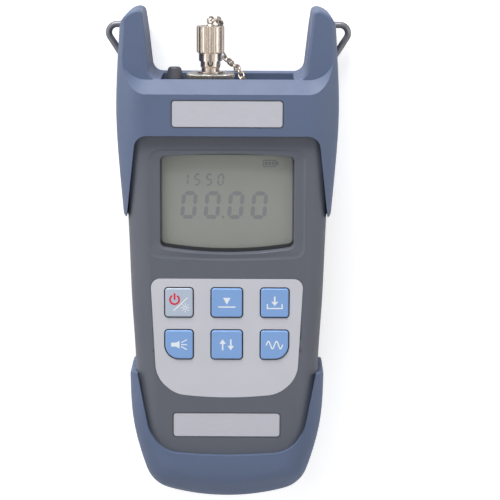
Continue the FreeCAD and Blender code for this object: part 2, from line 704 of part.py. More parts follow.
def top_wall(y):
    share = (y - TOP_ARM_END) / (NAME_PLATE_Y - TOP_ARM_END)
    return TOP_ARM_WALL + share * (TOP_BOOT_WALL - TOP_ARM_WALL)


def prong_outline():
    """The plan of the prong tips: a broad round outer corner on each."""
    bend, tip, low = PRONG_TIP_RADIUS, PRONG_TIP_FLAT, BACK - 1
    foot = TOP_END - bend
    share = math.sqrt(0.5)
    corners = [Vector(-REACH, foot, low), Vector(-REACH, 0, low), Vector(REACH, 0, low),
               Vector(REACH, foot, low), Vector(tip + bend, foot, low)]
    edges = [line(p, q) for p, q in zip(corners, corners[1:])]
    edges += [arc(Vector(tip + bend, foot, low),
                  Vector(tip + bend * share, foot + bend * share, low), Vector(tip, TOP_END, low)),
              line(Vector(tip, TOP_END, low), Vector(-tip, TOP_END, low)),
              arc(Vector(-tip, TOP_END, low),
                  Vector(-tip - bend * share, foot + bend * share, low),
                  Vector(-tip - bend, foot, low)),
              line(Vector(-tip - bend, foot, low), corners[0])]
    return prism(edges, Vector(0, 0, FRONT - BACK + 2))


def bay_cutter():
    """The bay between the prongs."""
    top = TOP_END + 2
    top_half = BAY_HALF + BAY_SPLAY * (top - PRONG_FLOOR)
    points = [Vector(-BAY_HALF, PRONG_FLOOR, BACK - 1), Vector(BAY_HALF, PRONG_FLOOR, BACK - 1),
              Vector(top_half, top, BACK - 1), Vector(-top_half, top, BACK - 1)]
    solid = prism(polygon(points), Vector(0, 0, FRONT - BACK + 2))
    return round_corners(solid, PRONG_CORNER, lambda p: p.y < PRONG_FLOOR + 1)


def scoop_wire(spread, z):
    """Outline of the scoop in front of the prongs, `spread` outside its foot."""
    half = PRONG_FOOT_HALF + spread
    foot = PRONG_FLOOR - 0.2 - spread
    bend = PRONG_FOOT_CORNER + spread
    top = TOP_END + OVERRUN
    k = bend * (1 - math.sqrt(0.5))
    edges = [line(Vector(-half, top, z), Vector(-half, foot + bend, z)),
             arc(Vector(-half, foot + bend, z), Vector(-half + k, foot + k, z),
                 Vector(-half + bend, foot, z)),
             line(Vector(-half + bend, foot, z), Vector(half - bend, foot, z)),
             arc(Vector(half - bend, foot, z), Vector(half - k, foot + k, z),
                 Vector(half, foot + bend, z)),
             line(Vector(half, foot + bend, z), Vector(half, top, z)),
             line(Vector(half, top, z), Vector(-half, top, z))]
    return Part.Wire(edges)


def scoop_cutter():
    """Cuts the prongs back from the front, behind a 45 degree slope."""
    rise = FRONT - PRONG_FRONT + 1
    return Part.makeLoft([scoop_wire(0, PRONG_FRONT), scoop_wire(rise, PRONG_FRONT + rise)],
                         True, True)


def prong_side_profile():
    """The top boot seen from the side: round back corners on the prongs."""
    block_ = block(-REACH, REACH, TOP_ARM_END - 1, TOP_END, BACK, FRONT)
    back = [e for e in block_.Edges
            if abs(e.CenterOfMass.y - TOP_END) < 0.1 and abs(e.CenterOfMass.z - BACK) < 0.1
            and abs(e.tangentAt(e.FirstParameter).x) > 0.999]
    return block_.makeFillet(PRONG_BACK_ROUND, back)


def rounded_prongs(solid):
    """Rounds the prongs' inner tip corners and the front edge round the bay."""
    corners = [e for e in solid.Edges if abs(e.tangentAt(e.FirstParameter).z) > 0.999
               and abs(e.CenterOfMass.y - TOP_END) < 0.3]
    solid = solid.makeFillet(PRONG_TIP_CORNER, corners)
    rim = [e for e in solid.Edges if all(abs(p.z - PRONG_FRONT) < 0.01 for p in e.discretize(5))
           and e.CenterOfMass.y > PRONG_FLOOR - 0.1 and abs(e.CenterOfMass.x) < PRONG_TIP_FLAT + 1]
    return solid.makeFillet(PRONG_RIM, rim)


def bail_tilt():
    return math.degrees(math.asin((BAIL_Z - BAIL_CROSS_Z) / BAIL_REACH))


def bail_placed(shape):
    """Moves a shape from the bail's own flat plane to where the bail lies folded."""
    placed = shape.copy()
    placed.translate(Vector(0, BAIL_Y, BAIL_Z))
    placed.rotate(Vector(0, BAIL_Y, BAIL_Z), Vector(1, 0, 0), bail_tilt())
    return placed


def bail_corners():
    """The bail's right half as straight runs: pin, outer bend, leg, cross bar."""
    lean = math.radians(BAIL_LEAN)
    # Where the leg, tangent to the outer bend, would meet the pin's line
    bend_x, bend_y = BAIL_OUT - BAIL_BEND, -BAIL_BEND
    leg_x = bend_x + BAIL_BEND * math.cos(lean)
    leg_y = bend_y - BAIL_BEND * math.sin(lean)
    turn = Vector(leg_x - leg_y * math.tan(lean), 0, 0)
    end = Vector(leg_x - (BAIL_REACH + leg_y) * math.tan(lean), -BAIL_REACH, 0)
    return turn, end


def rounded_path(points, radii):
    """Straight runs through the points, joined by tangent arcs at the inner points."""
    edges = []
    start = points[0]
    for before, corner, after, radius in zip(points, points[1:], points[2:], radii):
        into = (corner - before).normalize()
        out = (after - corner).normalize()
        half_turn = into.getAngle(out) / 2
        setback = radius * math.tan(half_turn)
        first, last = corner - into * setback, corner + out * setback
        middle_way = (out - into).normalize()
        centre = corner + middle_way * (radius / math.cos(half_turn))
        edges.append(line(start, first))
        edges.append(arc(first, centre - middle_way * radius, last))
        start = last
    edges.append(line(start, points[-1]))
    return Part.Wire(edges)


def swept_rod(path, diameter):
    first = path.Edges[0]
    start = first.valueAt(first.FirstParameter)
    ring = Part.Circle(start, first.tangentAt(first.FirstParameter), diameter / 2).toShape()
    return path.makePipeShell([Part.Wire([ring])], True, False)


def bail_pin_end():
    return side_half(BAIL_Y) + top_wall(BAIL_Y) - BAIL_PIN_DEPTH


def bail_stand():
    turn, end = bail_corners()
    pin = Vector(bail_pin_end(), 0, 0)
    points = [pin, turn, end]
    left = [Vector(-p.x, p.y, 0) for p in reversed(points)]
    radii = [BAIL_BEND, BAIL_CROSS_BEND, BAIL_CROSS_BEND, BAIL_BEND]
    return bail_placed(swept_rod(rounded_path(points + left, radii), BAIL_ROD))


def bail_groove():
    """Room for the folded bail in the back of the top boot."""
    turn, end = bail_corners()
    half = BAIL_GROOVE / 2
    top = BAIL_ROD / 2 + BAIL_GROOVE_GAP
    deep = -BAIL_Z - 5
    leg = (end - turn).normalize()
    across = Vector(-leg.y, leg.x, 0) * half
    start, stop = turn - leg * 2, end + leg * 4
    corners = [start + across, stop + across, stop - across, start - across]
    lifted = [p + Vector(0, 0, deep) for p in corners]
    groove = bail_placed(prism(polygon(lifted), Vector(0, 0, top - deep)))
    return both_sides(groove)


def bail_holes():
    hole = cross_pin(bail_pin_end() - 0.3, REACH, BAIL_Y, BAIL_Z, BAIL_ROD + 2 * TURN_FIT)
    return both_sides(hole)


def top_boot():
    solid = strip(top_wall, BACK, FRONT, CASE_SIDES[BOOT_STATIONS - 1][0])
    for level, radius in ((FRONT, BOOT_FRONT_EDGE), (BACK, BOOT_BACK_EDGE)):
        sides = [e for e in solid.Edges if abs(e.CenterOfMass.x) > BAY_HALF
                 and abs(e.CenterOfMass.z - level) < 0.01]
        solid = solid.makeFillet(radius, sides)
    solid = solid.common(prong_outline()).common(prong_side_profile())
    solid = solid.common(arm_profile(TOP_ARM_END, TOP_END + 1))
    solid = rounded_prongs(solid.cut(scoop_cutter()).cut(bay_cutter()))
    solid = solid.cut(rounded_slab(-WELL_HALF, WELL_HALF, CASE_TOP - CASE_WALL, TOP_END,
                                   WELL_BACK, WELL_FRONT, WELL_CORNER))
    solid = solid.cut(case_form(BOOT_FIT)).cut(panel_slab(PANEL_FIT, PANEL_BACK, CASE_TOP))
    window = [arm_window(TOP_WINDOW, TOP_ARM_END, TOP_WINDOW_HALF, TOP_WINDOW_CORNER, z0, z1)
              for z0, z1 in ((BACK - 1, PARTING - 5), (PARTING + 5, FRONT + 1))]
    plate = plate_slab(NAME_PLATE, NAME_PLATE_Y, PLATE_FIT,
                       FRONT - PLATE_SUNK - PLATE_THICKNESS, FRONT + 1)
    tips = tip_corners(TOP_ARM_END, TOP_END, side_half(TOP_ARM_END) + TOP_ARM_WALL)
    return solid.cut(Part.makeCompound(window + [plate] + tips + bail_groove() + bail_holes()))


def bottom_window(z0, z1):
    """The grey face left open by the bottom boot: rounded corners, a bowed lower edge."""
    top = BOTTOM_ARM_END + ARM_TIP_CORNER
    corner = BOTTOM_WINDOW + BOTTOM_WINDOW_BOW
    right = [Vector(BOTTOM_WINDOW_TOP_HALF, top, z0),
             Vector(BOTTOM_WINDOW_HALF, corner + BOTTOM_WINDOW_CORNER, z0),
             Vector(BOTTOM_WINDOW_FOOT_HALF, corner, z0)]
    left = [Vector(-p.x, p.y, z0) for p in reversed(right)]
    points = left + right
    bow = arc(right[-1], Vector(0, BOTTOM_WINDOW, z0), left[0])
    solid = prism([line(a, b) for a, b in zip(points, points[1:])] + [bow],
                  Vector(0, 0, z1 - z0))
    return round_corners(solid, BOTTOM_WINDOW_ROUND, lambda p: p.y < top - 1)


def bottom_boot():
    end = CASE_BOTTOM - BOTTOM_END
    solid = strip(lambda y: BOTTOM_BOOT_WALL, BACK - 1, FRONT + 1)
    solid = solid.common(bowed_band(CASE_TOP, CASE_BOTTOM - end, BOTTOM_BOW + end,
                                    BACK - 1, FRONT + 1))
    solid = solid.common(fallen_front(CASE_TOP, FRONT, BACK, FALL_RADIUS + FRONT - CASE_FRONT))
    solid = round_corners(solid, BOOT_CORNER, lambda p: p.y < FALL_START)
    rim = [e for e in rim_edges(solid, True) if e.CenterOfMass.y < CASE_TOP - 1]
    solid = solid.makeFillet(BOOT_FRONT_EDGE - 0.5, rim)
    rim = [e for e in rim_edges(solid, False) if e.CenterOfMass.y < CASE_TOP - 1]
    solid = solid.makeFillet(BOOT_BACK_EDGE, rim)
    solid = solid.common(arm_profile(BOTTOM_ARM_END, BOTTOM_END - OVERRUN))
    solid = solid.cut(case_form(BOOT_FIT))
    tips = tip_corners(BOTTOM_ARM_END, BOTTOM_END, side_half(BOTTOM_ARM_END) + BOTTOM_BOOT_WALL)
    return solid.cut(Part.makeCompound([bottom_window(BACK - 1, PARTING - 5),
                                        bottom_window(PARTING + 5, FRONT + 1)] + tips))


# ---------------------------------------------------------------- display and keypad
def lcd_slab(margin, z0, z1):
    return block(-WINDOW_HALF - margin, WINDOW_HALF + margin, WINDOW_LOW - margin,
                 WINDOW_HIGH + margin, z0, z1)


def lcd_strips():
    """Two elastomer strips that join the glass to the board."""
    high = WINDOW_HIGH + LCD_MARGIN - STACK_GAP
    low = WINDOW_LOW - LCD_MARGIN + STACK_GAP
    strip_ = [block(-WINDOW_HALF, WINDOW_HALF, high - STRIP_WIDTH, high, BOARD_FRONT, LCD_BACK),
              block(-WINDOW_HALF, WINDOW_HALF, low, low + STRIP_WIDTH, BOARD_FRONT, LCD_BACK)]
    return Part.makeCompound(strip_)


def keypad_bezel():
    bezel = bezel_outline(0, BEZEL_SEAT, CASE_FRONT)
    holes = [key_outline(column, row, KEY_GAP, BEZEL_SEAT - 1, FRONT) for _, column, row in KEYS]
    return bezel.cut(Part.makeCompound(holes))


def key(column, row):
    top = CASE_FRONT + KEY_PROUD
    cap = key_outline(column, row, 0, KEY_SHOULDER - KEY_FLANGE, top)
    rim = [e for e in cap.Edges if abs(e.CenterOfMass.z - top) < 0.01]
    cap = cap.makeFillet(KEY_EDGE, rim)
    flange = key_outline(column, row, KEY_GAP + KEY_FLANGE, KEY_SHOULDER - KEY_FLANGE,
                         KEY_SHOULDER)
    plunger = post(column * KEY_PITCH_X, KEY_ROWS[row], KEY_FOOT, KEY_SHOULDER, KEY_PLUNGER)
    return fuse(cap, flange, plunger)


def keypad_membrane():
    """One rubber sheet with a dome under each key."""
    half_x = KEY_PITCH_X + KEY_OUTER_WIDTH / 2 + MEMBRANE_MARGIN
    half_y = KEY_HEIGHT / 2 + MEMBRANE_MARGIN
    sheet = rounded_slab(-half_x, half_x, KEY_ROWS[1] - half_y, KEY_ROWS[0] + half_y,
                         BOARD_FRONT, BOARD_FRONT + MEMBRANE_THICKNESS, MEMBRANE_MARGIN)
    domes = [Part.makeCone(KEY_PLUNGER * 0.8, KEY_PLUNGER / 2, MEMBRANE_THICKNESS,
                           Vector(column * KEY_PITCH_X, KEY_ROWS[row],
                                  BOARD_FRONT + MEMBRANE_THICKNESS)) for _, column, row in KEYS]
    return fuse(sheet, *domes)


def main_board():
    board = rounded_slab(-BOARD_HALF, BOARD_HALF, BOARD_BOTTOM, BOARD_TOP, BOARD_BACK,
                         BOARD_FRONT, BOARD_CORNER)
    holes = [post(x, y, BOARD_BACK - 1, BOARD_FRONT + 1, BOARD_SCREW + SCREW_ROOM)
             for x, y in board_screw_spots()]
    holes += [post(x, y, BOARD_BACK - 1, BOARD_FRONT + 1, BOSS + 1) for x, y in screw_spots()]
    return board.cut(Part.makeCompound(holes))


def controller_chip():
    x, y = CHIP_PLACE
    return block(x - CHIP / 2, x + CHIP / 2, y - CHIP / 2, y + CHIP / 2,
                 BOARD_BACK - CHIP_THICKNESS, BOARD_BACK)


def buzzer():
    x, y = BUZZER_PLACE
    can = post(x, y, BOARD_BACK - BUZZER_HEIGHT, BOARD_BACK, BUZZER)
    return can.cut(post(x, y, BOARD_BACK - BUZZER_HEIGHT, BOARD_BACK - BUZZER_HEIGHT / 2, 2.0))


# ---------------------------------------------------------------- batteries
def cell(n):
    x = (n - 1) * CELL_PITCH
    middle = CELL_TOP - CELL_LENGTH / 2
    half = CELL_LENGTH / 2
    profile = [(0, -half), (CELL / 2 - 0.5, -half), (CELL / 2, 0.5 - half), (CELL / 2, half - 0.5),
               (CELL / 2 - 0.5, half), (CELL_NUB / 2, half), (CELL_NUB / 2, half + CELL_NUB_LENGTH),
               (0, half + CELL_NUB_LENGTH)]
    cell_ = turned(x, CELL_Z, profile)
    if n == 1:
        # The middle cell lies the other way round
        cell_.rotate(Vector(x, 0, CELL_Z), Vector(0, 0, 1), 180)
        middle += CELL_NUB_LENGTH
    cell_.translate(Vector(0, middle, 0))
    return cell_


def bowed_leaf(x):
    """A spring leaf on the lower wall of the bay, bowed out to the cell's flat end."""
    half, low = CONTACT_WIDTH / 2, CELL_Z - CONTACT_WIDTH / 2
    wall, thick = BAY_BOTTOM, CONTACT_THICKNESS
    edges = [arc(Vector(x - half, wall, low), Vector(x, wall + CONTACT_BOW, low),
                 Vector(x + half, wall, low)),
             line(Vector(x + half, wall, low), Vector(x + half, wall + thick, low)),
             arc(Vector(x + half, wall + thick, low), Vector(x, wall + CONTACT_BOW + thick, low),
                 Vector(x - half, wall + thick, low)),
             line(Vector(x - half, wall + thick, low), Vector(x - half, wall, low))]
    return prism(edges, Vector(0, 0, BAY_CEILING - low))


def battery_contacts():
    """Flat plates at the tops of the bay and bowed leaves at the bottoms."""
    pieces = []
    for n in range(3):
        x = (n - 1) * CELL_PITCH
        half = CONTACT_WIDTH / 2
        pieces.append(block(x - half, x + half, BAY_TOP - CONTACT_THICKNESS, BAY_TOP,
                            CELL_Z - half, BAY_CEILING))
        pieces.append(bowed_leaf(x))
    return Part.makeCompound(pieces)


# ---------------------------------------------------------------- optical port
def detector_port():
    flange = CASE_TOP + PORT_FLANGE_THICKNESS
    pocket = PORT_BACK + DIODE_CAN_LENGTH + STACK_GAP
    profile = [(PORT_BORE / 2, PORT_TOP), (PORT_THREAD / 2 - 0.4, PORT_TOP),
               (PORT_THREAD / 2, PORT_TOP - 0.4), (PORT_THREAD / 2, flange),
               (PORT_FLANGE / 2, flange), (PORT_FLANGE / 2, CASE_TOP), (PORT_THREAD / 2, CASE_TOP),
               (PORT_THREAD / 2, PORT_BACK), (DIODE_CAN / 2 + TURN_FIT, PORT_BACK),
               (DIODE_CAN / 2 + TURN_FIT, pocket), (PORT_BORE / 2, pocket)]
    return turned(PORT_X, PORT_Z, profile)


def port_nut():
    """A thin hexagon nut that clamps the port from behind the end panel."""
    across = PORT_NUT / 2
    corner = across / math.cos(math.radians(30))
    points = [Vector(PORT_X + corner * math.sin(math.radians(60 * n)), PANEL_BACK,
                     PORT_Z + corner * math.cos(math.radians(60 * n))) for n in range(6)]
    nut = prism(polygon(points), Vector(0, -PORT_NUT_THICKNESS, 0))
    return nut.cut(rod(PORT_X, PORT_Z, PORT_BACK, CASE_TOP, PORT_THREAD + 2 * TURN_FIT))


def photodiode():
    base = PORT_BACK
    can = rod(PORT_X, PORT_Z, base, base + DIODE_CAN_LENGTH, DIODE_CAN)
    flange = rod(PORT_X, PORT_Z, base - DIODE_FLANGE_THICKNESS, base, DIODE_FLANGE)
    leads = [rod(PORT_X + dx, PORT_Z + dz, base - DIODE_FLANGE_THICKNESS - DIODE_LEAD_LENGTH,
                 base, DIODE_LEAD) for dx, dz in DIODE_LEADS]
    return fuse(can, flange, *leads)


def detector_board():
    front = PORT_BACK - DIODE_FLANGE_THICKNESS
    half_x, half_z = DETECTOR_BOARD[0] / 2, DETECTOR_BOARD[1] / 2
    board = block(PORT_X - half_x, PORT_X + half_x, front - BOARD_THICKNESS, front,
                  PORT_Z - half_z, PORT_Z + half_z)
    holes = [rod(PORT_X + dx, PORT_Z + dz, front - BOARD_THICKNESS - 1, front + 1,
                 DIODE_LEAD + 2 * STACK_GAP) for dx, dz in DIODE_LEADS]
    return board.cut(Part.makeCompound(holes))


def adapter_nut():
    """The knurled ring that screws onto the port and turns on the adapter."""
    roof = NUT_TOP - NUT_ROOF
    bore = ADAPTER_NECK / 2 + TURN_FIT
    profile = [(PORT_THREAD / 2 + TURN_FIT, NUT_BOTTOM), (NUT_DIAMETER / 2 - 0.4, NUT_BOTTOM),
               (NUT_DIAMETER / 2, NUT_BOTTOM + 0.4), (NUT_DIAMETER / 2, NUT_TOP - 0.5),
               (NUT_DIAMETER / 2 - 0.5, NUT_TOP), (bore, NUT_TOP), (bore, roof),
               (PORT_THREAD / 2 + TURN_FIT, roof)]
    return turned(PORT_X, PORT_Z, profile)


def fc_adapter():
    """A threaded spigot with a keyway and a post for the ferrule sleeve."""
    base = PORT_TOP + STACK_GAP
    groove = NUT_TOP - NUT_ROOF - STACK_GAP
    flange = NUT_TOP + STACK_GAP
    spigot = flange + ADAPTER_FLANGE_THICKNESS
    neck = spigot + SPIGOT_NECK_LENGTH
    groove_r = ADAPTER_NECK / 2 - CLIP_GROOVE
    bore = FERRULE / 2 + 0.1
    sleeve_r = SLEEVE / 2 + SLEEVE_FIT
    profile = [(bore, base), (ADAPTER_NECK / 2, base), (ADAPTER_NECK / 2, groove - CLIP_THICKNESS),
               (groove_r, groove - CLIP_THICKNESS), (groove_r, groove), (ADAPTER_NECK / 2, groove),
               (ADAPTER_NECK / 2, flange), (ADAPTER_FLANGE / 2, flange),
               (ADAPTER_FLANGE / 2, spigot), (SPIGOT_NECK / 2, spigot), (SPIGOT_NECK / 2, neck),
               (SPIGOT / 2, neck + 0.4), (SPIGOT / 2, SPIGOT_TOP - 0.4),
               (SPIGOT / 2 - 0.4, SPIGOT_TOP), (SPIGOT_BORE / 2, SPIGOT_TOP),
               (SPIGOT_BORE / 2, neck), (POST / 2, neck), (POST / 2, POST_TOP),
               (sleeve_r, POST_TOP), (sleeve_r, flange), (bore, flange)]
    body = turned(PORT_X, PORT_Z, profile)
    slot = block(PORT_X - KEYWAY / 2, PORT_X + KEYWAY / 2, KEYWAY_BOTTOM + KEYWAY / 2,
                 SPIGOT_TOP + 1, PORT_Z + POST / 2 + 0.2, PORT_Z + SPIGOT)
    slot_end = Part.makeCylinder(KEYWAY / 2, SPIGOT, Vector(PORT_X, KEYWAY_BOTTOM + KEYWAY / 2,
                                                            PORT_Z + POST / 2 + 0.2))
    return body.cut(slot.fuse(slot_end))


def adapter_clip():
    """The open ring that keeps the knurled nut on the adapter."""
    top = NUT_TOP - NUT_ROOF - STACK_GAP
    inner = ADAPTER_NECK / 2 - CLIP_GROOVE
    ring = rod(PORT_X, PORT_Z, top - CLIP_THICKNESS, top, CLIP_DIAMETER)
    ring = ring.cut(rod(PORT_X, PORT_Z, top - CLIP_THICKNESS - 1, top + 1, 2 * inner))
    return ring.cut(block(PORT_X - inner * 0.8, PORT_X + inner * 0.8, top - CLIP_THICKNESS - 1,
                          top + 1, PORT_Z - CLIP_DIAMETER, PORT_Z))


def alignment_sleeve():
    """A split ceramic sleeve that guides a 2.5 mm ferrule."""
    low = NUT_TOP + STACK_GAP
    tube = rod(PORT_X, PORT_Z, low, POST_TOP, SLEEVE)
    tube = tube.cut(rod(PORT_X, PORT_Z, low - 1, POST_TOP + 1, FERRULE))
    return tube.cut(block(PORT_X - SLEEVE_SLIT / 2, PORT_X + SLEEVE_SLIT / 2, low - 1,
                          POST_TOP + 1, PORT_Z - SLEEVE, PORT_Z))


# ---------------------------------------------------------------- dust cap and chain
def dust_cap():
    bore = SPIGOT / 2 + TURN_FIT
    roof = CAP_TOP - CAP_ROOF
    relief = SPIGOT_TOP + 0.6
    outer = [(CAP_COLLAR / 2, CAP_BOTTOM), (CAP_COLLAR / 2, CAP_GRIP_BOTTOM),
             (CAP_GRIP / 2 - CAP_CHAMFER, CAP_GRIP_BOTTOM),
             (CAP_GRIP / 2, CAP_GRIP_BOTTOM + CAP_CHAMFER), (CAP_GRIP / 2, CAP_TOP - CAP_CHAMFER / 2),
             (CAP_GRIP / 2 - CAP_CHAMFER / 2, CAP_TOP), (RIVET / 2 + TURN_FIT, CAP_TOP),
             (RIVET / 2 + TURN_FIT, roof), (bore - 0.6, roof), (bore - 0.6, relief),
             (bore, relief), (bore, CAP_BOTTOM)]
    cap = turned(PORT_X, PORT_Z, outer)
    flutes = []
    for n in range(CAP_FLUTES):
        angle = 2 * math.pi * n / CAP_FLUTES
        away = CAP_GRIP / 2 + CAP_FLUTE / 2 - CAP_FLUTE_DEPTH
        flutes.append(rod(PORT_X + away * math.sin(angle), PORT_Z + away * math.cos(angle),
                          CAP_GRIP_BOTTOM - 1, CAP_TOP + 1, CAP_FLUTE))
    return cap.cut(Part.makeCompound(flutes))


def eye_centre():
    return Vector(PORT_X, CAP_TOP + 0.5 + EYE_RADIUS, PORT_Z)


def cap_swivel():
    """A rivet through the cap with an eye for the chain."""
    roof = CAP_TOP - CAP_ROOF
    shank = rod(PORT_X, PORT_Z, roof - 0.9, CAP_TOP + 0.5, RIVET)
    head = rod(PORT_X, PORT_Z, roof - 0.9, roof - 0.1, RIVET_HEAD)
    collar = turned(PORT_X, PORT_Z, [(0, CAP_TOP + 0.1), (RIVET_HEAD / 2, CAP_TOP + 0.1),
                                     (RIVET_HEAD / 2 - 0.3, CAP_TOP + 0.5), (0, CAP_TOP + 0.6)])
    eye = Part.makeTorus(EYE_RADIUS, EYE_WIRE / 2, eye_centre(), EYE_NORMAL)
    return fuse(shank, head, collar, eye)


def chain_link():
    """One oval link along X, flat in the XY plane."""
    radius = (LINK_WIDTH - LINK_WIRE) / 2
    half = (LINK_LENGTH - LINK_WIDTH) / 2
    a, b = Vector(-half, radius, 0), Vector(half, radius, 0)
    c, d = Vector(half, -radius, 0), Vector(-half, -radius, 0)
    path = Part.Wire([line(a, b), arc(b, Vector(half + radius, 0, 0), c), line(c, d),
                      arc(d, Vector(-half - radius, 0, 0), a)])
    circle = Part.Circle(a, Vector(1, 0, 0), LINK_WIRE / 2).toShape()
    return path.makePipeShell([Part.Wire([circle])], True, False)


def cap_chain():
    """Links along the hanging route, each turned a quarter about the one before."""
    # The first link hangs in the eye, so its wire lies just inside the eye's own
    outward = EYE_NORMAL.cross(Vector(0, -1, 0))
    overhang = LINK_WIRE / 2 + LINK_PLAY / 2
    hang = EYE_RADIUS - EYE_WIRE / 2 - LINK_WIRE / 2 - LINK_PLAY / 3 + overhang
    end = LUG_EYE + (CHAIN_ROUTE[-1] - LUG_EYE).normalize() * overhang
    curve = Part.BSplineCurve()
    curve.interpolate([eye_centre() + outward * hang] + CHAIN_ROUTE + [end])
    route = curve.toShape()
    pitch = LINK_LENGTH - 2 * LINK_WIRE - LINK_PLAY
    count = round(route.Length / pitch)
    joints = route.discretize(count + 1)
    links = []
    for n, (a, b) in enumerate(zip(joints, joints[1:])):
        link = chain_link()
        order = "XYZ" if n % 2 == 0 else "XZY"
        turn = Rotation(b - a, EYE_NORMAL, EYE_NORMAL, order)
        link.Placement = FreeCAD.Placement((a + b) * 0.5, turn)
        links.append(link)
    return Part.makeCompound(links)


def anchor():
    """Where the anchor screw's axis meets the end panel."""
    place = LUG_EYE + LUG_NORMAL * LUG_TO_SCREW
    return Vector(place.x, CASE_TOP, place.z)


def chain_lug():
    """A bent tab: flat under the anchor screw, upright where the last link hangs."""
    half = LUG_WIDTH / 2
    # Laid out along X from the screw, then turned to face the chain
    foot = block(-LUG_TO_SCREW - LUG_THICKNESS / 2, 0, 0, LUG_THICKNESS, -half, half)
    pad = rod(0, 0, 0, LUG_THICKNESS, LUG_PAD)
    left = -LUG_TO_SCREW - LUG_THICKNESS / 2
    upright = block(left, left + LUG_THICKNESS, 0, LUG_EYE.y - CASE_TOP, -half, half)
    crown = cross_pin(left, left + LUG_THICKNESS, LUG_EYE.y - CASE_TOP, 0, LUG_WIDTH)
    holes = [rod(0, 0, -1, 1, LUG_SCREW + 2 * TURN_FIT),
             cross_pin(left - 1, left + 1, LUG_EYE.y - CASE_TOP, 0, LUG_HOLE)]
    lug = fuse(foot, pad, upright, crown).cut(Part.makeCompound(holes))
    lug.rotate(Vector(0, 0, 0), Vector(0, 1, 0), 45)
    lug.translate(anchor())
    return lug


def chain_screw():
    place = anchor()
    low = CASE_TOP + LUG_THICKNESS
    half, slot = LUG_SCREW_HEAD / 3, SCREW_SLOT / 2
    head = rod(place.x, place.z, low, low + LUG_SCREW_HEAD_HEIGHT, LUG_SCREW_HEAD)
    shank = rod(place.x, place.z, PANEL_BACK - LUG_THICKNESS, low, LUG_SCREW)
    cross = [block(place.x - half, place.x + half, low + LUG_SCREW_HEAD_HEIGHT / 2, TOP_END,
                   place.z - slot, place.z + slot),
             block(place.x - slot, place.x + slot, low + LUG_SCREW_HEAD_HEIGHT / 2, TOP_END,
                   place.z - half, place.z + half)]
    return fuse(head, shank).cut(Part.makeCompound(cross))


# ---------------------------------------------------------------- torch
def torch_collar():
    """A tapered rubber hood round the torch lamp, with a lip behind the panel."""
    bore = LED_DIAMETER / 2 + 0.1
    top = TORCH_TOP
    profile = [(bore, PANEL_BACK - 1.2), (TORCH_LIP / 2, PANEL_BACK - 1.2),
               (TORCH_LIP / 2, PANEL_BACK), (TORCH_COLLAR / 2, PANEL_BACK),
               (TORCH_COLLAR / 2, CASE_TOP + TORCH_SHOULDER), (TORCH_COLLAR_TOP / 2, top - 0.5),
               (TORCH_COLLAR_TOP / 2 - 0.5, top), (bore + 0.4, top), (bore, top - 1.0)]
    return turned(TORCH_X, PORT_Z, profile)


def torch_led():
    top = TORCH_TOP - LED_SUNK
    barrel = rod(TORCH_X, PORT_Z, PANEL_BACK - 2.2, top - LED_DIAMETER / 2, LED_DIAMETER)
    dome = Part.makeSphere(LED_DIAMETER / 2, Vector(TORCH_X, top - LED_DIAMETER / 2, PORT_Z))
    rim = rod(TORCH_X, PORT_Z, PANEL_BACK - 2.2, PANEL_BACK - 1.3, LED_DIAMETER + 0.8)
    leads = [rod(TORCH_X + dx, PORT_Z, PANEL_BACK - LED_LEAD_LENGTH, PANEL_BACK - 2, LED_LEAD)
             for dx in (-LED_LEAD_HALF, LED_LEAD_HALF)]
    return fuse(barrel, dome, rim, *leads)


# ---------------------------------------------------------------- screws
def case_screws():
    floor = CASE_BACK + SCREW_SUNK + SCREW_HEAD_HEIGHT
    screws = []
    for x, y in screw_spots():
        head = post(x, y, floor - SCREW_HEAD_HEIGHT, floor, SCREW_HEAD)
        shank = post(x, y, floor, floor + SCREW_LENGTH, SCREW)
        long, narrow = SCREW_CROSS / 2, SCREW_SLOT / 2
        deep = floor - SCREW_HEAD_HEIGHT / 2
        slots = [block(x - long, x + long, y - narrow, y + narrow, BACK, deep),
                 block(x - narrow, x + narrow, y - long, y + long, BACK, deep)]
        screws.append(fuse(head, shank).cut(Part.makeCompound(slots)))
    return Part.makeCompound(screws)


def board_screws():
    screws = []
    for x, y in board_screw_spots():
        head = post(x, y, BOARD_BACK - BOARD_SCREW_HEAD_HEIGHT, BOARD_BACK, BOARD_SCREW_HEAD)
        shank = post(x, y, BOARD_BACK, BOARD_FRONT + BOARD_SCREW_GRIP, BOARD_SCREW)
        screws.append(fuse(head, shank))
    return Part.makeCompound(screws)


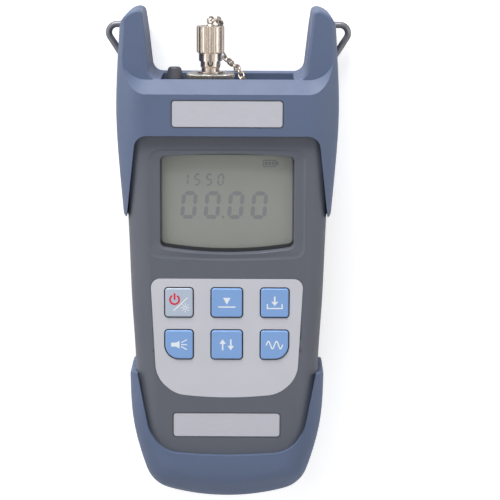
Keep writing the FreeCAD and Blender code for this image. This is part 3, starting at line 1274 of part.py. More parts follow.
def main():
    os.makedirs("parts", exist_ok=True)
    export("front_housing", front_housing())
    export("rear_housing", rear_housing())
    export("end_panel", end_panel())
    export("top_boot", top_boot())
    export("bottom_boot", bottom_boot())
    export("display_window", window_slab(0, WINDOW_SEAT, WINDOW_FACE))
    export("lcd_glass", lcd_slab(LCD_MARGIN, LCD_BACK, LCD_FACE))
    export("lcd_backlight", lcd_slab(-BACKLIGHT_MARGIN, BOARD_FRONT, LCD_BACK - STACK_GAP))
    export("lcd_strips", lcd_strips())
    export("keypad_bezel", keypad_bezel())
    for name, column, row in KEYS:
        export(name, key(column, row))
    export("keypad_membrane", keypad_membrane())
    export("main_board", main_board())
    export("controller_chip", controller_chip())
    export("buzzer", buzzer())
    export("name_plate", plate_slab(NAME_PLATE, NAME_PLATE_Y, 0,
                                    FRONT - PLATE_SUNK - PLATE_THICKNESS, FRONT - PLATE_SUNK))
    export("lower_plate", plate_slab(LOWER_PLATE, LOWER_PLATE_Y, 0,
                                     CASE_FRONT - PLATE_SUNK - PLATE_THICKNESS,
                                     CASE_FRONT - PLATE_SUNK))
    for n in range(3):
        export("battery_%d" % (n + 1), cell(n))
    export("battery_contacts", battery_contacts())
    export("battery_door", battery_door())
    export("detector_port", detector_port())
    export("port_nut", port_nut())
    export("photodiode", photodiode())
    export("detector_board", detector_board())
    export("adapter_nut", adapter_nut())
    export("fc_adapter", fc_adapter())
    export("adapter_clip", adapter_clip())
    export("alignment_sleeve", alignment_sleeve())
    export("dust_cap", dust_cap())
    export("cap_swivel", cap_swivel())
    export("cap_chain", cap_chain())
    export("chain_lug", chain_lug())
    export("chain_screw", chain_screw())
    export("torch_collar", torch_collar())
    export("torch_led", torch_led())
    export("bail_stand", bail_stand())
    export("case_screws", case_screws())
    export("board_screws", board_screws())


main()
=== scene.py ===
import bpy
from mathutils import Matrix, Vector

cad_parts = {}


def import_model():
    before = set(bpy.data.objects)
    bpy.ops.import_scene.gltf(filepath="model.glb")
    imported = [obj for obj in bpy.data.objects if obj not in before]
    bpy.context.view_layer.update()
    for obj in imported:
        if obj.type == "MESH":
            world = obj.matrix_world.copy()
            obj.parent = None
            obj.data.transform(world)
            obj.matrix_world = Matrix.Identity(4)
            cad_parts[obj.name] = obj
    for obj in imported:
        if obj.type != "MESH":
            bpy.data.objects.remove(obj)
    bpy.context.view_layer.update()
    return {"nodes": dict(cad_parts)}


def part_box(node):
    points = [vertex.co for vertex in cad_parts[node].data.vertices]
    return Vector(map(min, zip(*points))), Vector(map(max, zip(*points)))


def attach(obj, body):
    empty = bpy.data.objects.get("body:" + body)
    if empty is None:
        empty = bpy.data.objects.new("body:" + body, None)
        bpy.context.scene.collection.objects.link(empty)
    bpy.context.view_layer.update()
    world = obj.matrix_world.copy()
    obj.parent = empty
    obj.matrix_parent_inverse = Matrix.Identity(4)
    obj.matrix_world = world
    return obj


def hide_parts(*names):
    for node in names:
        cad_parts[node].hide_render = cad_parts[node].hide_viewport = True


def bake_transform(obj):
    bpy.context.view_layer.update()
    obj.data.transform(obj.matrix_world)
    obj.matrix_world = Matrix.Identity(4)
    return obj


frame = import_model()

import math

import bpy
from mathutils import Matrix, Vector

# The looks of a handheld optical power meter. Lengths are in millimetres and turn into
# metres, the frame's unit, where a mesh is made.
MM = 0.001
NODES = frame["nodes"]


# ---------------------------------------------------------------- colours and nodes
def linear(red, green, blue):
    """A colour given as 0 to 255 screen values, as the shader wants it."""
    parts = []
    for value in (red, green, blue):
        share = value / 255
        parts.append(share / 12.92 if share <= 0.04045 else ((share + 0.055) / 1.055) ** 2.4)
    return (*parts, 1.0)


class Shader:
    """A material with one Principled shader and the nodes that feed it."""

    def __init__(self, name, colour, roughness, metallic=0.0, **sockets):
        self.material = bpy.data.materials.new(name)
        self.material.use_nodes = True
        self.tree = self.material.node_tree
        self.main = self.tree.nodes["Principled BSDF"]
        self.main.inputs["Base Color"].default_value = colour
        self.main.inputs["Roughness"].default_value = roughness
        self.main.inputs["Metallic"].default_value = metallic
        for socket, value in sockets.items():
            self.main.inputs[socket.replace("_", " ")].default_value = value
        self.colour = colour
        self.place = self.add("ShaderNodeTexCoord").outputs["Object"]
        self.height = None

    def add(self, kind, **settings):
        node = self.tree.nodes.new(kind)
        for key, value in settings.items():
            setattr(node, key, value)
        return node

    def link(self, source, target):
        self.tree.links.new(source, target)

    def noise(self, size, detail=3.0, stretch=(1, 1, 1)):
        """Noise whose features are about `size` millimetres across."""
        mapping = self.add("ShaderNodeMapping")
        mapping.inputs["Scale"].default_value = [s / (size * MM) for s in stretch]
        self.link(self.place, mapping.inputs["Vector"])
        noise = self.add("ShaderNodeTexNoise")
        noise.inputs["Scale"].default_value = 1.0
        noise.inputs["Detail"].default_value = detail
        self.link(mapping.outputs["Vector"], noise.inputs["Vector"])
        return noise.outputs["Fac"]

    def between(self, factor, low, high, start=0.3, stop=0.7):
        """A number that follows `factor` from low to high."""
        node = self.add("ShaderNodeMapRange")
        node.inputs["From Min"].default_value = start
        node.inputs["From Max"].default_value = stop
        node.inputs["To Min"].default_value = low
        node.inputs["To Max"].default_value = high
        self.link(factor, node.inputs["Value"])
        return node.outputs["Result"]

    def tint(self, factor, amount):
        """Varies the base colour's brightness by `amount` either way."""
        node = self.add("ShaderNodeMix", data_type="RGBA", blend_type="MIX")
        node.inputs["A"].default_value = scaled(self.colour, 1 - amount)
        node.inputs["B"].default_value = scaled(self.colour, 1 + amount)
        self.link(self.between(factor, 0.0, 1.0), node.inputs["Factor"])
        self.link(node.outputs["Result"], self.main.inputs["Base Color"])
        return self

    def rough(self, factor, low, high):
        self.link(self.between(factor, low, high), self.main.inputs["Roughness"])
        return self

    def bump(self, height, depth):
        """Raises the surface by up to `depth` millimetres where `height` is high."""
        node = self.add("ShaderNodeBump")
        node.inputs["Strength"].default_value = 1.0
        node.inputs["Distance"].default_value = depth * MM
        self.link(height, node.inputs["Height"])
        if self.height is not None:
            self.link(self.height, node.inputs["Normal"])
        self.height = node.outputs["Normal"]
        self.link(self.height, self.main.inputs["Normal"])
        return self


def scaled(colour, share):
    """A colour made paler or darker."""
    return (*[min(1.0, part * share) for part in colour[:3]], 1.0)


TONE_PATCH, GLOSS_PATCH = 14.0, 5.0         # how wide the changes over a moulding are
GLOSS_CHANGE = 0.05


def moulded(name, colour, roughness, grain, depth, vary):
    """Moulded plastic or rubber: fine even grain and slow changes of tone."""
    shader = Shader(name, colour, roughness)
    shader.tint(shader.noise(TONE_PATCH, 4.0), vary)
    shader.rough(shader.noise(GLOSS_PATCH, 4.0), roughness - GLOSS_CHANGE,
                 roughness + GLOSS_CHANGE)
    shader.bump(shader.noise(grain, 2.0), depth)
    return shader.material


def turned_metal(name, colour, roughness, stretch=(1, 1, 1), size=0.25):
    """Plated or bare metal with fine marks, which `stretch` can draw out along one way."""
    shader = Shader(name, colour, roughness, metallic=1.0)
    marks = shader.noise(size, 4.0, stretch)
    shader.tint(shader.noise(2.5, 4.0), 0.06)
    shader.rough(marks, roughness - 0.08, roughness + 0.1)
    shader.bump(marks, 0.003)
    return shader.material


# ---------------------------------------------------------------- materials
# A moulding has a name, a colour, a roughness, the size and depth of its grain, and how
# far its tone changes. A metal has a name, a colour and a roughness.
BLUE_RUBBER = moulded("blue_rubber", linear(92, 106, 135), 0.50, 0.35, 0.012, 0.025)
GREY_CASE = moulded("grey_case", linear(96, 100, 110), 0.42, 0.30, 0.010, 0.02)
BLACK_RUBBER = moulded("black_rubber", linear(52, 52, 58), 0.55, 0.4, 0.015, 0.05)
TORCH_GREY = moulded("torch_grey", linear(84, 85, 92), 0.5, 0.4, 0.015, 0.04)
BLACK_PLASTIC = moulded("black_plastic", linear(34, 35, 40), 0.45, 0.4, 0.012, 0.05)
KEY_BLUE = moulded("key_plastic", linear(133, 171, 225), 0.38, 0.5, 0.004, 0.015)
KEY_PALE = moulded("power_plastic", linear(184, 196, 214), 0.38, 0.5, 0.004, 0.015)
PANEL_SILVER = moulded("silver_panel", linear(204, 205, 213), 0.40, 0.18, 0.006, 0.02)
MEMBRANE = moulded("membrane", linear(44, 46, 54), 0.6, 0.6, 0.01, 0.03)
BOARD_GREEN = moulded("circuit_board", linear(22, 84, 48), 0.35, 1.2, 0.01, 0.12)
CHIP_BLACK = moulded("chip_black", linear(36, 36, 38), 0.5, 0.15, 0.01, 0.04)
LIGHT_GUIDE = moulded("backlight", linear(226, 228, 222), 0.35, 1.0, 0.004, 0.01)
CERAMIC = moulded("zirconia", linear(236, 234, 228), 0.22, 0.8, 0.002, 0.01)
CELL_SLEEVE = moulded("cell", linear(92, 98, 104), 0.32, 3.0, 0.004, 0.06)
NICKEL = turned_metal("nickel", linear(202, 189, 177), 0.22)
RING_GREY = turned_metal("ring_nickel", linear(190, 186, 181), 0.30)
# painted shade for the bottoms of the knurl's grooves
GROOVE_SHADE = turned_metal("ring_groove_shade", linear(84, 82, 80), 0.5)
DARK_STEEL = turned_metal("steel", linear(132, 133, 138), 0.5, size=0.5)
SCREW_STEEL = turned_metal("screw_steel", linear(120, 120, 124), 0.32)
CONTACT = turned_metal("spring_nickel", linear(206, 202, 194), 0.26, stretch=(1, 1, 0.1))
DIODE_CAN = turned_metal("diode", linear(200, 192, 170), 0.28)
INK_WHITE = moulded("ink_white", linear(236, 242, 248), 0.45, 0.3, 0.002, 0.01)
INK_RED = moulded("ink_red", linear(222, 30, 48), 0.45, 0.3, 0.002, 0.01)
# a dark flat colour: painted shade round the plates and in the keys' seams, and the dark band at
# the display window's edge
SHADE_AND_BAND_DARK = moulded("shade_and_band_dark", linear(40, 42, 46), 0.45, 0.3, 0.002, 0.02)
SEGMENT = moulded("lcd_segment", linear(102, 104, 113), 0.5, 0.3, 0.002, 0.03)


def plate_material():
    """Brushed and lacquered aluminium: long fine marks across the plate."""
    shader = Shader("silver_plate", linear(203, 204, 213), 0.42, 0.3)
    marks = shader.noise(0.12, 3.0, (0.03, 1, 1))
    shader.tint(marks, 0.05)
    shader.rough(marks, 0.36, 0.5)
    shader.bump(marks, 0.003)
    return shader.material


def lcd_material():
    """The grey-green panel, painted paler towards its upper edge: painted light that evens out
    the recess's shade there.
    """
    shader = Shader("lcd", linear(136, 138, 132), 0.4)
    shader.tint(shader.noise(22.0, 2.0), 0.025)
    split = shader.add("ShaderNodeSeparateXYZ")
    shader.link(shader.place, split.inputs[0])
    # painted light: the colour rises up to 1.32 times between 13 mm and 2 mm below the glass's
    # upper edge, to even out the recess's shade
    high, shade_start, shade_stop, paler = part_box("lcd_glass")[1].y, 13 * MM, 2 * MM, 1.32
    rise = shader.between(split.outputs["Y"], 1.0, paler, high - shade_start,
                          high - shade_stop)
    lift = shader.add("ShaderNodeMix", data_type="RGBA", blend_type="MULTIPLY")
    lift.inputs["Factor"].default_value = 1.0
    shader.link(shader.main.inputs["Base Color"].links[0].from_socket, lift.inputs["A"])
    shader.link(rise, lift.inputs["B"])
    shader.link(lift.outputs["Result"], shader.main.inputs["Base Color"])
    shader.rough(shader.noise(3.0), 0.35, 0.45)
    shader.bump(shader.noise(0.3), 0.001)
    return shader.material


def window_material():
    """Clear acrylic with the faintest haze and a few hair marks."""
    shader = Shader("window_plastic", linear(216, 220, 214), 0.06, Alpha=0.10)
    shader.rough(shader.noise(6.0, 4.0), 0.04, 0.10)
    shader.bump(shader.noise(9.0, 2.0), 0.002)
    return shader.material


def led_material():
    """The torch's clear lens."""
    shader = Shader("led", linear(238, 240, 236), 0.08, Alpha=0.55)
    shader.rough(shader.noise(2.0), 0.05, 0.14)
    shader.bump(shader.noise(1.5), 0.003)
    return shader.material


DRESS = {
    "front_housing": GREY_CASE, "rear_housing": GREY_CASE, "battery_door": GREY_CASE,
    "end_panel": BLACK_PLASTIC, "top_boot": BLUE_RUBBER, "bottom_boot": BLUE_RUBBER,
    "display_window": window_material(), "lcd_glass": lcd_material(),
    "lcd_backlight": LIGHT_GUIDE, "lcd_strips": BLACK_RUBBER, "keypad_bezel": PANEL_SILVER,
    "power_key": KEY_PALE, "reference_key": KEY_BLUE, "save_key": KEY_BLUE,
    "light_key": KEY_BLUE, "unit_key": KEY_BLUE, "wavelength_key": KEY_BLUE,
    "keypad_membrane": MEMBRANE, "main_board": BOARD_GREEN, "detector_board": BOARD_GREEN,
    "controller_chip": CHIP_BLACK, "buzzer": CHIP_BLACK, "name_plate": plate_material(),
    "battery_1": CELL_SLEEVE, "battery_2": CELL_SLEEVE, "battery_3": CELL_SLEEVE,
    "battery_contacts": CONTACT, "detector_port": NICKEL, "port_nut": NICKEL,
    "photodiode": DIODE_CAN, "adapter_nut": RING_GREY, "fc_adapter": NICKEL,
    "adapter_clip": CONTACT, "alignment_sleeve": CERAMIC, "dust_cap": NICKEL,
    "cap_swivel": NICKEL, "cap_chain": NICKEL, "chain_lug": NICKEL,
    "chain_screw": SCREW_STEEL, "torch_collar": TORCH_GREY, "torch_led": led_material(),
    "bail_stand": DARK_STEEL, "case_screws": SCREW_STEEL, "board_screws": SCREW_STEEL,
}
DRESS["lower_plate"] = DRESS["name_plate"]

for node, material in DRESS.items():
    NODES[node].data.materials.clear()
    NODES[node].data.materials.append(material)


# ---------------------------------------------------------------- meshes
def piece(name, points, faces, body, material):
    """A new piece from points in millimetres, riding on a body."""
    mesh = bpy.data.meshes.new(name)
    mesh.from_pydata([Vector(p) * MM for p in points], [], faces)
    mesh.validate()
    mesh.update()
    mesh.materials.append(material)
    made = bpy.data.objects.new(name, mesh)
    bpy.context.scene.collection.objects.link(made)
    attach(made, body)
    return made


def strips(loops, size, closed=False):
    """The faces between neighbouring loops of points, with `size` points in each."""
    faces = []
    for n in range(loops if closed else loops - 1):
        after = (n + 1) % loops
        for k in range(size):
            following = (k + 1) % size
            faces.append([n * size + k, n * size + following, after * size + following,
                          after * size + k])
    return faces


def raised(name, shapes, low, high, body, material):
    """Flat shapes in the XY plane, made solid between two heights. A shape is one
    counter-clockwise outline, or an (outer, inner) pair of them with as many points each."""
    points, faces = [], []
    for shape in shapes:
        loops = shape if isinstance(shape, tuple) else (shape,)
        first, count = len(points), len(loops[0])
        for loop in loops:
            points += [(x, y, low) for x, y in loop] + [(x, y, high) for x, y in loop]
        bottom, top = range(first, first + count), range(first + count, first + 2 * count)
        if len(loops) == 1:
            faces += [list(top), list(reversed(bottom))]
        for n in range(count):
            after = (n + 1) % count
            faces.append([bottom[n], bottom[after], top[after], top[n]])
            if len(loops) == 2:
                inner = 2 * count
                faces += [[top[n], top[after], top[after] + inner, top[n] + inner],
                          [bottom[after], bottom[n], bottom[n] + inner, bottom[after] + inner],
                          [bottom[after] + inner, bottom[n] + inner, top[n] + inner,
                           top[after] + inner]]
    return piece(name, points, faces, body, material)


def stroke(points, width):
    """One ribbon of even width along a line of points, with round ends."""
    half, right, left = width / 2, [], []
    last = len(points) - 1
    ways = [math.atan2(y1 - y0, x1 - x0) for (x0, y0), (x1, y1) in zip(points, points[1:])]
    for n, (x, y) in enumerate(points):
        before, after = ways[max(n - 1, 0)], ways[min(n, last - 1)]
        bend = (after - before + math.pi) % (2 * math.pi) - math.pi
        way, reach = before + bend / 2, half / math.cos(bend / 2)
        right.append((x + reach * math.sin(way), y - reach * math.cos(way)))
        left.append((x - reach * math.sin(way), y + reach * math.cos(way)))
    start, stop = math.degrees(ways[0]), math.degrees(ways[-1])
    return [right[:-1] + arc(*points[-1], half, stop - 90, stop + 90, 8)
            + left[-2:0:-1] + arc(*points[0], half, start + 90, start + 270, 8)]


def disc(x, y, radius, count=28):
    """A round outline."""
    return [(x + radius * math.cos(2 * math.pi * n / count),
             y + radius * math.sin(2 * math.pi * n / count)) for n in range(count)]


def arc(x, y, radius, start, stop, count):
    """Points along part of a circle, between two angles in degrees."""
    steps = [math.radians(start + (stop - start) * n / count) for n in range(count + 1)]
    return [(x + radius * math.cos(a), y + radius * math.sin(a)) for a in steps]


def rounded(x0, x1, y0, y1, radius, low_right=None, low_left=None):
    """A rectangle with round corners, counter-clockwise. The lower two may differ."""
    low_right, low_left = low_right or radius, low_left or radius
    return (arc(x1 - low_right, y0 + low_right, low_right, -90, 0, 10)
            + arc(x1 - radius, y1 - radius, radius, 0, 90, 10)
            + arc(x0 + radius, y1 - radius, radius, 90, 180, 10)
            + arc(x0 + low_left, y0 + low_left, low_left, 180, 270, 10))


def inset_box(low, high, inset, *radii):
    """A box's outline with round corners, seen from the front, drawn in by `inset`."""
    return rounded(low.x + inset, high.x - inset, low.y + inset, high.y - inset, *radii)


def rectangle(x0, x1, y0, y1):
    """A rectangle with sharp corners, counter-clockwise."""
    return [(x0, y0), (x1, y0), (x1, y1), (x0, y1)]


def moved(outlines, x, y):
    """The same shapes, shifted by (x, y)."""
    def shift(outline):
        return [(x + px, y + py) for px, py in outline]

    return [tuple(map(shift, outline)) if isinstance(outline, tuple) else shift(outline)
            for outline in outlines]


def box_mm(node):
    """The two corners of a node's box, in millimetres."""
    low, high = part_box(node)
    return low / MM, high / MM


# Printed marks and painted shade lines are thin plates that reach BITE into the surface below
# them.
BITE = 0.02


# ---------------------------------------------------------------- display surround
BOW_STEPS = 24


def bowed(half, low, high, radius, low_bow, high_bow):
    """A round-cornered outline whose lower and upper edges bow out towards their middles."""
    corners = ((half - radius, low + radius, -90), (half - radius, high - radius, 0),
               (radius - half, high - radius, 90), (radius - half, low + radius, 180))
    points = []
    for n, (x, y, start) in enumerate(corners):
        points += arc(x, y, radius, start, start + 90, 8)
        after = corners[(n + 1) % 4]
        if n % 2:
            x0, x1, edge = points[-1][0], after[0], low if n == 3 else high
            points += [(x0 + (x1 - x0) * k / BOW_STEPS, edge) for k in range(1, BOW_STEPS)]
    middle = (low + high) / 2
    return [(x, y + (low_bow if y < middle else -high_bow) * (x / half) ** 2) for x, y in points]


def surround():
    """The moulded frame in the display's recess, stepped down to the window."""
    window_low, window_high = box_mm("display_window")
    face = box_mm("keypad_bezel")[1].z
    low, high = window_low.y, window_high.y
    middle, reach = (low + high) / 2, (high - low) / 2
    window_edge = bowed(26.0, low, high, 1.9, 2.3, 1.3)
    band_thickness = 0.02                              # the dark band's thickness; the frame ends level with it
    sunk = face - window_high.z - band_thickness
    # (outline, depth at the sides, at the top and at the foot) from the rim to the window
    rings = [(bowed(30.5, low - 3.1, high + 2.1, 5.0, 0.0, 0.0), 0.3, 0.3, 0.3),
             (bowed(30.5, low - 3.1, high + 2.1, 4.2, 0.3, 0.0), -0.01, -0.01, -0.01),
             (bowed(30.4, low - 3.0, high + 2.0, 3.6, 1.0, 0.2), 0.0, 0.0, 0.0),
             (bowed(30.0, low - 2.6, high + 1.7, 3.2, 1.4, 0.3), 0.3, 0.3, 0.17),
             (bowed(29.4, low - 2.1, high + 1.3, 2.9, 1.6, 0.4), 0.42, 0.4, 0.24),
             (bowed(26.6, low - 0.6, high + 0.3, 2.2, 2.2, 1.2), 0.85, 0.15, 0.02),
             (bowed(26.2, low - 0.35, high + 0.1, 2.0, 2.3, 1.3), 1.0, 0.25, 0.15),
             (window_edge, sunk, sunk, sunk)]
    points = []
    for outline, at_sides, at_top, at_foot in rings:
        for x, y in outline:
            share = min(abs(y - middle) / reach, 1.0) ** 4
            at_end = at_top if y > middle else at_foot
            points.append((x, y, face - at_sides + (at_sides - at_end) * share))
    piece("display_surround", points, strips(len(rings), len(window_edge)), "case", GREY_CASE)
    band_line, band_foot = 0.15, 1.5      # the dark band's width, and at the window's foot
    band_edge = bowed(26.0 - band_line, low + band_foot, high - band_line, 1.9, 2.3, 1.3)
    raised("window_dark_band", [(window_edge, band_edge)], window_high.z, window_high.z + band_thickness,
           "case", SHADE_AND_BAND_DARK)


surround()


# ---------------------------------------------------------------- plates
def plate_edge_shade(node):
    """Painted shade: a dark line just inside a plate's edge, where the rim of its recess shades
    it.
    """
    low, high = box_mm(node)
    outside, inside, corner = 0.05, 0.3, 1.4
    line = (inset_box(low, high, outside, corner - outside),
            inset_box(low, high, inside, corner - inside))
    raised(node + "_edge_shade", [line], high.z - BITE, high.z + 0.03, "case", SHADE_AND_BAND_DARK)


plate_edge_shade("name_plate")
plate_edge_shade("lower_plate")


# ---------------------------------------------------------------- display
DIGIT_BARS = {"0": "abcdef", "1": "bc", "5": "acdfg"}
DIGIT_SLANT = math.tan(math.radians(5.0))


def bar(x0, y0, x1, y1, width):
    """One display bar: a flat strip with pointed ends."""
    length = math.hypot(x1 - x0, y1 - y0)
    ux, uy = (x1 - x0) / length, (y1 - y0) / length
    half = width / 2
    return [(x0, y0), (x0 + ux * half - uy * half, y0 + uy * half + ux * half),
            (x1 - ux * half - uy * half, y1 - uy * half + ux * half), (x1, y1),
            (x1 - ux * half + uy * half, y1 - uy * half - ux * half),
            (x0 + ux * half + uy * half, y0 + uy * half - ux * half)]


def digit(text, x, y, width, height, weight):
    """The bars of one digit whose lower left corner is at (x, y)."""
    half, gap = weight / 2, weight * 0.12
    left, right, low, top = half, width - half, half, height - half
    middle = height / 2
    lines = {"a": (left + gap, top, right - gap, top),
             "b": (right, middle + gap, right, top - gap),
             "c": (right, low + gap, right, middle - gap),
             "d": (left + gap, low, right - gap, low),
             "e": (left, low + gap, left, middle - gap),
             "f": (left, middle + gap, left, top - gap),
             "g": (left + gap, middle, right - gap, middle)}
    shapes = [bar(*lines[name], weight) for name in DIGIT_BARS[text]]
    return [[(x + px + (py - middle) * DIGIT_SLANT, y + py) for px, py in shape]
            for shape in shapes]


def figures(text, x, y, pitch, width, height, weight):
    """A row of digits `pitch` apart. The first one's lower left corner is at (x, y)."""
    return [shape for n, figure in enumerate(text)
            for shape in digit(figure, x + pitch * n, y, width, height, weight)]


def battery_sign():
    """A cell's outline with its tip and three bars of charge."""
    low, high, bar_width, bar_pitch = 14.65, 16.05, 1.1, 1.35
    lefts = [low + bar_pitch * n for n in range(3)]
    return [(rounded(13.9, 19.2, 13.9, 16.8, 0.3), rounded(14.35, 18.75, 14.35, 16.35, 0.1)),
            rectangle(19.2, 20.0, 14.7, 16.0),
            *[rectangle(left, left + bar_width, low, high) for left in lefts]]


def display():
    """Figures and a battery sign, placed from the middle of the glass, on a face that
    stands just behind the window."""
    low, high = box_mm("lcd_glass")
    shapes = figures("0000", -18.05, -6.7, 9.17, 6.2, 11.0, 1.6)
    shapes.append(disc(-1.6, -5.9, 0.55, 16))       # the decimal point
    shapes += figures("1550", -17.6, 6.5, 4.6, 2.6, 4.8, 0.75) + battery_sign()
    shapes = moved(shapes, (low.x + high.x) / 2, (low.y + high.y) / 2)
    window_low, window_high = box_mm("display_window")
    inset, corner, gap, thickness = 0.9, 1.6, 0.08, 0.03
    front = window_low.z - gap
    raised("display_face", [inset_box(window_low, window_high, inset, corner)],
           high.z, front, "case", DRESS["lcd_glass"])
    raised("display_marks", shapes, front, front + thickness, "case", SEGMENT)


display()


# ---------------------------------------------------------------- signs on the keys
def key_sign(node, outlines, material, name, lift=0.04):
    """A printed sign on the middle of a key."""
    low, high = box_mm(node)
    x, y = (low.x + high.x) / 2, (low.y + high.y) / 2
    raised(node + "_" + name, moved(outlines, x, y), high.z - BITE, high.z + lift, node,
           material)


def key_gap_shade(node, low_right=None, low_left=None):
    """Painted shade: a dark ring down in the seam between a key and the panel round it."""
    low, high = box_mm(node)
    face = box_mm("keypad_bezel")[1].z
    flange, gap = 1.5, 0.5          # from the key's top to its flange's edge and to the panel
    corner = 1.1
    near_panel, near_key = gap - 0.02, 0.05
    deep, sunk = 0.5, 0.3           # the seam's floor and top, below the panel's face

    def outline(reach):
        return inset_box(low, high, flange - reach, corner + reach,
                         low_right and low_right + reach, low_left and low_left + reach)

    raised(node + "_seam_shade", [(outline(near_panel), outline(near_key))], face - deep, face - sunk,
           "case", SHADE_AND_BAND_DARK)


def power_sign():
    """A broken ring with a bar through its gap."""
    return (stroke(arc(-1.7, 1.2, 1.8, 128, 412, 24), 0.66)
            + stroke([(-1.7, 3.5), (-1.7, 1.4)], 0.66))


def sun_sign(x, y, size):
    """A small ring with eight rays."""
    ring_radius, half_line, ray_start, ray_stop = size * 0.42, 0.16, size * 0.78, size * 1.2
    shapes = [(disc(x, y, ring_radius + half_line, 20), disc(x, y, ring_radius - half_line, 20))]
    for n in range(8):
        across, along = math.cos(math.radians(45 * n)), math.sin(math.radians(45 * n))
        shapes += stroke([(x + ray_start * across, y + ray_start * along),
                          (x + ray_stop * across, y + ray_stop * along)], 0.28)
    return shapes


def target_sign():
    """A level line with a pointer down to it."""
    shapes = stroke([(-3.2, -1.7), (3.2, -1.7)], 0.5)
    shapes.append([(-1.5, 2.0), (0.0, -0.7), (1.5, 2.0)][::-1])
    return shapes


def store_sign():
    """An arrow into a tray."""
    shapes = stroke([(-2.9, -0.6), (-2.9, -2.2), (2.9, -2.2), (2.9, -0.6)], 0.5)
    shapes.append([(-0.3, 2.6), (-0.3, 0.5), (-1.4, 0.5), (0.0, -1.2), (1.4, 0.5), (0.3, 0.5),
                   (0.3, 2.6)])
    return shapes


def torch_sign():
    """A lamp head and three rays."""
    shapes = [[(-3.1, -0.8), (-1.2, -0.8), (0.2, -1.6), (0.2, 1.6), (-1.2, 0.8), (-3.1, 0.8)]]
    for rise in (-1, 0, 1):
        shapes += stroke([(1.0, rise * 0.9), (3.0, rise * 1.9)], 0.4)
    return shapes


def swap_sign():
    """Arrows up and down."""
    up = [(-1.9, -2.2), (-1.3, -2.2), (-1.3, 0.4), (-0.3, 0.4), (-1.6, 2.2), (-2.9, 0.4),
          (-1.9, 0.4)]
    return [up, [(-x, -y) for x, y in up]]


def wave_sign():
    """Two full waves."""
    half, rise, steps = 3.2, 1.5, 32
    points = [(-half + 2 * half * n / steps, rise * math.sin(4 * math.pi * n / steps))
              for n in range(steps + 1)]
    return stroke(points, 0.5)


SWEPT_CORNER = 5.4          # the outer lower corners of the lowest keys
for name in ("power_key", "reference_key", "save_key", "unit_key"):
    key_gap_shade(name)
key_gap_shade("light_key", low_left=SWEPT_CORNER)
key_gap_shade("wavelength_key", low_right=SWEPT_CORNER)
key_sign("power_key", power_sign(), INK_RED, "ring")
key_sign("power_key", stroke([(-2.0, -3.1), (3.3, 1.9)], 0.42), INK_WHITE, "line", 0.03)
key_sign("power_key", sun_sign(2.5, -2.0, 1.45), INK_WHITE, "sun")
key_sign("reference_key", target_sign(), INK_WHITE, "sign")
key_sign("save_key", store_sign(), INK_WHITE, "sign")
key_sign("light_key", torch_sign(), INK_WHITE, "sign")
key_sign("unit_key", swap_sign(), INK_WHITE, "sign")
key_sign("wavelength_key", wave_sign(), INK_WHITE, "sign")


# ---------------------------------------------------------------- battery door's nail hollow
def hollow_floor():
    """Closes the bottom of the hollow in the rear shell above the battery door."""
    door_top, back = box_mm("battery_door")[1].y, box_mm("rear_housing")[0].z
    above_door, radius, outside, inside = 3.0, 3.0, 2.02, 2.2
    raised("hollow_floor", [disc(0, door_top + above_door, radius)], back + outside,
           back + inside, "case", GREY_CASE)


hollow_floor()


# ---------------------------------------------------------------- knurled ring
def ring():
    """The adapter's ring with straight knurling round its side, and painted shade in the knurl's
    grooves.
    """
    low, high = box_mm("adapter_nut")
    x, z = (low.x + high.x) / 2, (low.z + high.z) / 2
    radius, neck, thread = (high.x - low.x) / 2, 4.26, 7.06
    teeth, steps, depth, roof = 96, 6, 0.34, 1.2
    # (distance from the axis, place along it, whether the knurling cuts it)
    profile = [(thread, low.y, 0), (radius - 0.45, low.y, 0),
               (radius - 0.06, low.y + 0.35, 1), (radius, low.y + 0.5, 1),
               (radius, high.y - 0.6, 1), (radius - 0.08, high.y - 0.42, 1),
               (radius - 0.55, high.y - 0.04, 0), (radius - 0.75, high.y, 0),
               (neck + 0.3, high.y, 0), (neck, high.y - 0.2, 0),
               (neck, high.y - roof, 0), (thread, high.y - roof, 0)]
    points = []
    count = teeth * steps
    for n in range(count):
        turn = 2 * math.pi * n / count
        dip = depth * (0.5 - 0.5 * math.cos(2 * math.pi * n / steps))
        for r, y, cut in profile:
            reach = r - dip * cut
            points.append((x + reach * math.sin(turn), y, z + reach * math.cos(turn)))
    size = len(profile)
    made = piece("knurled_ring", points, strips(count, size, closed=True), "ring", RING_GREY)
    # painted shade: the faces at the bottom of each knurl groove take a darker metal, for the
    # shade between the teeth
    made.data.materials.append(GROOVE_SHADE)
    for index, polygon in enumerate(made.data.polygons):
        n, k = divmod(index, size)
        if n % steps in (2, 3) and profile[k][2] and profile[(k + 1) % size][2]:
            polygon.material_index = 1
    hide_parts("adapter_nut")


ring()


# ---------------------------------------------------------------- cap's chain
def islands(mesh):
    """The separate links of a mesh, each as a set of its points' numbers."""
    near = {n: [] for n in range(len(mesh.vertices))}
    for edge in mesh.edges:
        first, second = edge.vertices
        near[first].append(second)
        near[second].append(first)
    left, found = set(near), []
    while left:
        group, reach = set(), [left.pop()]
        while reach:
            point = reach.pop()
            group.add(point)
            fresh = [n for n in near[point] if n in left]
            left.difference_update(fresh)
            reach += fresh
        found.append(group)
    return found


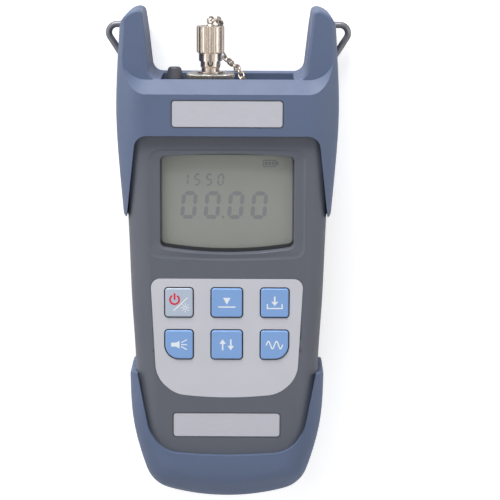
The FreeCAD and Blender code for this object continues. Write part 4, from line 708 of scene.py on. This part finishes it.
def chain():
    """The chain in two runs, split halfway between the lug's top and the cap swivel's foot."""
    source = NODES["cap_chain"].data
    foot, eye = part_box("chain_lug")[1].y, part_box("cap_swivel")[0].y
    joint = (foot + eye) / 2
    runs = {"chain_upper": ([], ("adapter", "cap_eye"), (joint, eye)),
            "chain_lower": ([], ("case", "adapter"), (foot, joint))}
    for group in islands(source):
        height = sum(source.vertices[n].co.y for n in group) / len(group)
        runs["chain_upper" if height > joint else "chain_lower"][0].append(group)
    for name, (groups, bodies, (start, stop)) in runs.items():
        order = sorted(set().union(*groups))
        place = {point: n for n, point in enumerate(order)}
        faces = [[place[n] for n in polygon.vertices] for polygon in source.polygons
                 if polygon.vertices[0] in place]
        mesh = bpy.data.meshes.new(name)
        mesh.from_pydata([source.vertices[n].co[:] for n in order], [], faces)
        mesh.materials.append(NICKEL)
        for polygon in mesh.polygons:
            polygon.use_smooth = True
        mesh.update()
        made = bpy.data.objects.new(name, mesh)
        bpy.context.scene.collection.objects.link(made)
        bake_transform(made)
        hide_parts("cap_chain")


chain()


# ---------------------------------------------------------------- floor, lights, camera
FLOOR_SIZE, FLOOR_DROP, FLOOR_GLOW = 6.0, 0.0003, 0.55
SKY = 0.40          # the world's strength for all but mirrors and the camera


def floor():
    """A white sheet that shows the camera white and keeps a soft shadow."""
    shader = Shader("floor_white", (0.86, 0.86, 0.87, 1.0), 0.9)
    path = shader.add("ShaderNodeLightPath")
    shader.main.inputs["Specular IOR Level"].default_value = 0.0
    glow = shader.add("ShaderNodeEmission")
    glow.inputs["Color"].default_value = (1, 1, 1, 1)
    seen = shader.add("ShaderNodeMath", operation="MAXIMUM")
    shader.link(path.outputs["Is Camera Ray"], seen.inputs[0])
    shader.link(path.outputs["Is Transmission Ray"], seen.inputs[1])
    strength = shader.add("ShaderNodeMath", operation="MULTIPLY")
    strength.inputs[1].default_value = FLOOR_GLOW
    shader.link(seen.outputs[0], strength.inputs[0])
    shader.link(strength.outputs[0], glow.inputs["Strength"])
    both = shader.add("ShaderNodeAddShader")
    shader.link(shader.main.outputs[0], both.inputs[0])
    shader.link(glow.outputs[0], both.inputs[1])
    shader.link(both.outputs[0], shader.tree.nodes["Material Output"].inputs["Surface"])
    bpy.ops.mesh.primitive_plane_add(size=FLOOR_SIZE, location=(0, 0, -FLOOR_DROP))
    plane = bpy.context.object
    plane.name = "floor"
    plane.data.materials.append(shader.material)


def lamp(name, place, target, width, height, power):
    """A rectangular lamp that faces its target; its power is in watts."""
    data = bpy.data.lights.new(name, "AREA")
    data.shape = "RECTANGLE"
    data.size, data.size_y = width, height
    data.energy = power
    made = bpy.data.objects.new(name, data)
    made.location = place
    aim = Vector(target) - Vector(place)
    made.rotation_euler = aim.to_track_quat("-Z", "Y").to_euler()
    bpy.context.scene.collection.objects.link(made)


def world():
    """Even white light; mirrors see two bright banks with a dim gap between them."""
    made = bpy.data.worlds.new("studio")
    bpy.context.scene.world = made
    made.use_nodes = True
    tree = made.node_tree

    def node(kind, **settings):
        new = tree.nodes.new(kind)
        for key, value in settings.items():
            setattr(new, key, value)
        return new

    back = tree.nodes["Background"]
    back.inputs["Color"].default_value = (1, 1, 1, 1)
    place = node("ShaderNodeTexCoord")
    split = node("ShaderNodeSeparateXYZ")
    tree.links.new(place.outputs["Generated"], split.inputs[0])
    aside = node("ShaderNodeMath", operation="ABSOLUTE")
    tree.links.new(split.outputs["X"], aside.inputs[0])
    ramp = node("ShaderNodeValToRGB")
    ramp.color_ramp.interpolation = "EASE"
    # (how far to the side, brightness there)
    stops = ((0.0, 0.30), (0.16, 0.34), (0.30, 1.0), (0.62, 1.0), (0.80, 0.25), (1.0, 0.55))
    while len(ramp.color_ramp.elements) < len(stops):
        ramp.color_ramp.elements.new(0.5)
    for element, (position, value) in zip(ramp.color_ramp.elements, stops):
        element.position = position
        element.color = (value, value, value, 1)
    tree.links.new(aside.outputs[0], ramp.inputs[0])
    path = node("ShaderNodeLightPath")
    mirror = node("ShaderNodeMix", data_type="FLOAT")
    mirror.inputs["A"].default_value = SKY
    tree.links.new(path.outputs["Is Glossy Ray"], mirror.inputs["Factor"])
    tree.links.new(ramp.outputs["Color"], mirror.inputs["B"])
    seen = node("ShaderNodeMix", data_type="FLOAT")
    seen.inputs["B"].default_value = 1.0
    tree.links.new(path.outputs["Is Camera Ray"], seen.inputs["Factor"])
    tree.links.new(mirror.outputs[0], seen.inputs["A"])
    tree.links.new(seen.outputs[0], back.inputs["Strength"])


def camera():
    """A long lens above the display, tilted towards the port's end."""
    data = bpy.data.cameras.new("view")
    data.sensor_width = 36.0
    data.lens = 144.0
    data.clip_start, data.clip_end = 0.05, 20.0
    made = bpy.data.objects.new("view", data)
    target, distance = Vector((0.0090, 0.00095, 0.0210)), 0.800
    tilt, lean = math.radians(10.5), math.radians(0.25)
    away = Vector((0, math.sin(tilt), math.cos(tilt)))
    up = Vector((0, math.cos(tilt), -math.sin(tilt)))
    side = up.cross(away)
    turn = Matrix((side, up, away)).transposed().to_4x4()
    roll = Matrix.Rotation(lean, 4, "Z")
    made.matrix_world = Matrix.Translation(target + away * distance) @ turn @ roll
    bpy.context.scene.collection.objects.link(made)
    bpy.context.scene.camera = made


floor()
lamp("key", (-0.30, 1.25, 0.50), (0, 0, 0.03), 0.9, 0.5, 20.0)
lamp("left", (-1.10, 0.10, 0.35), (0, 0, 0.02), 0.35, 1.2, 3.6)
lamp("right", (1.10, 0.10, 0.35), (0, 0, 0.02), 0.35, 1.2, 3.5)
lamp("foot", (0.10, -1.20, 0.45), (0, 0, 0.02), 1.0, 0.4, 2.0)
world()
camera()
bpy.context.scene.view_settings.view_transform = "Standard"
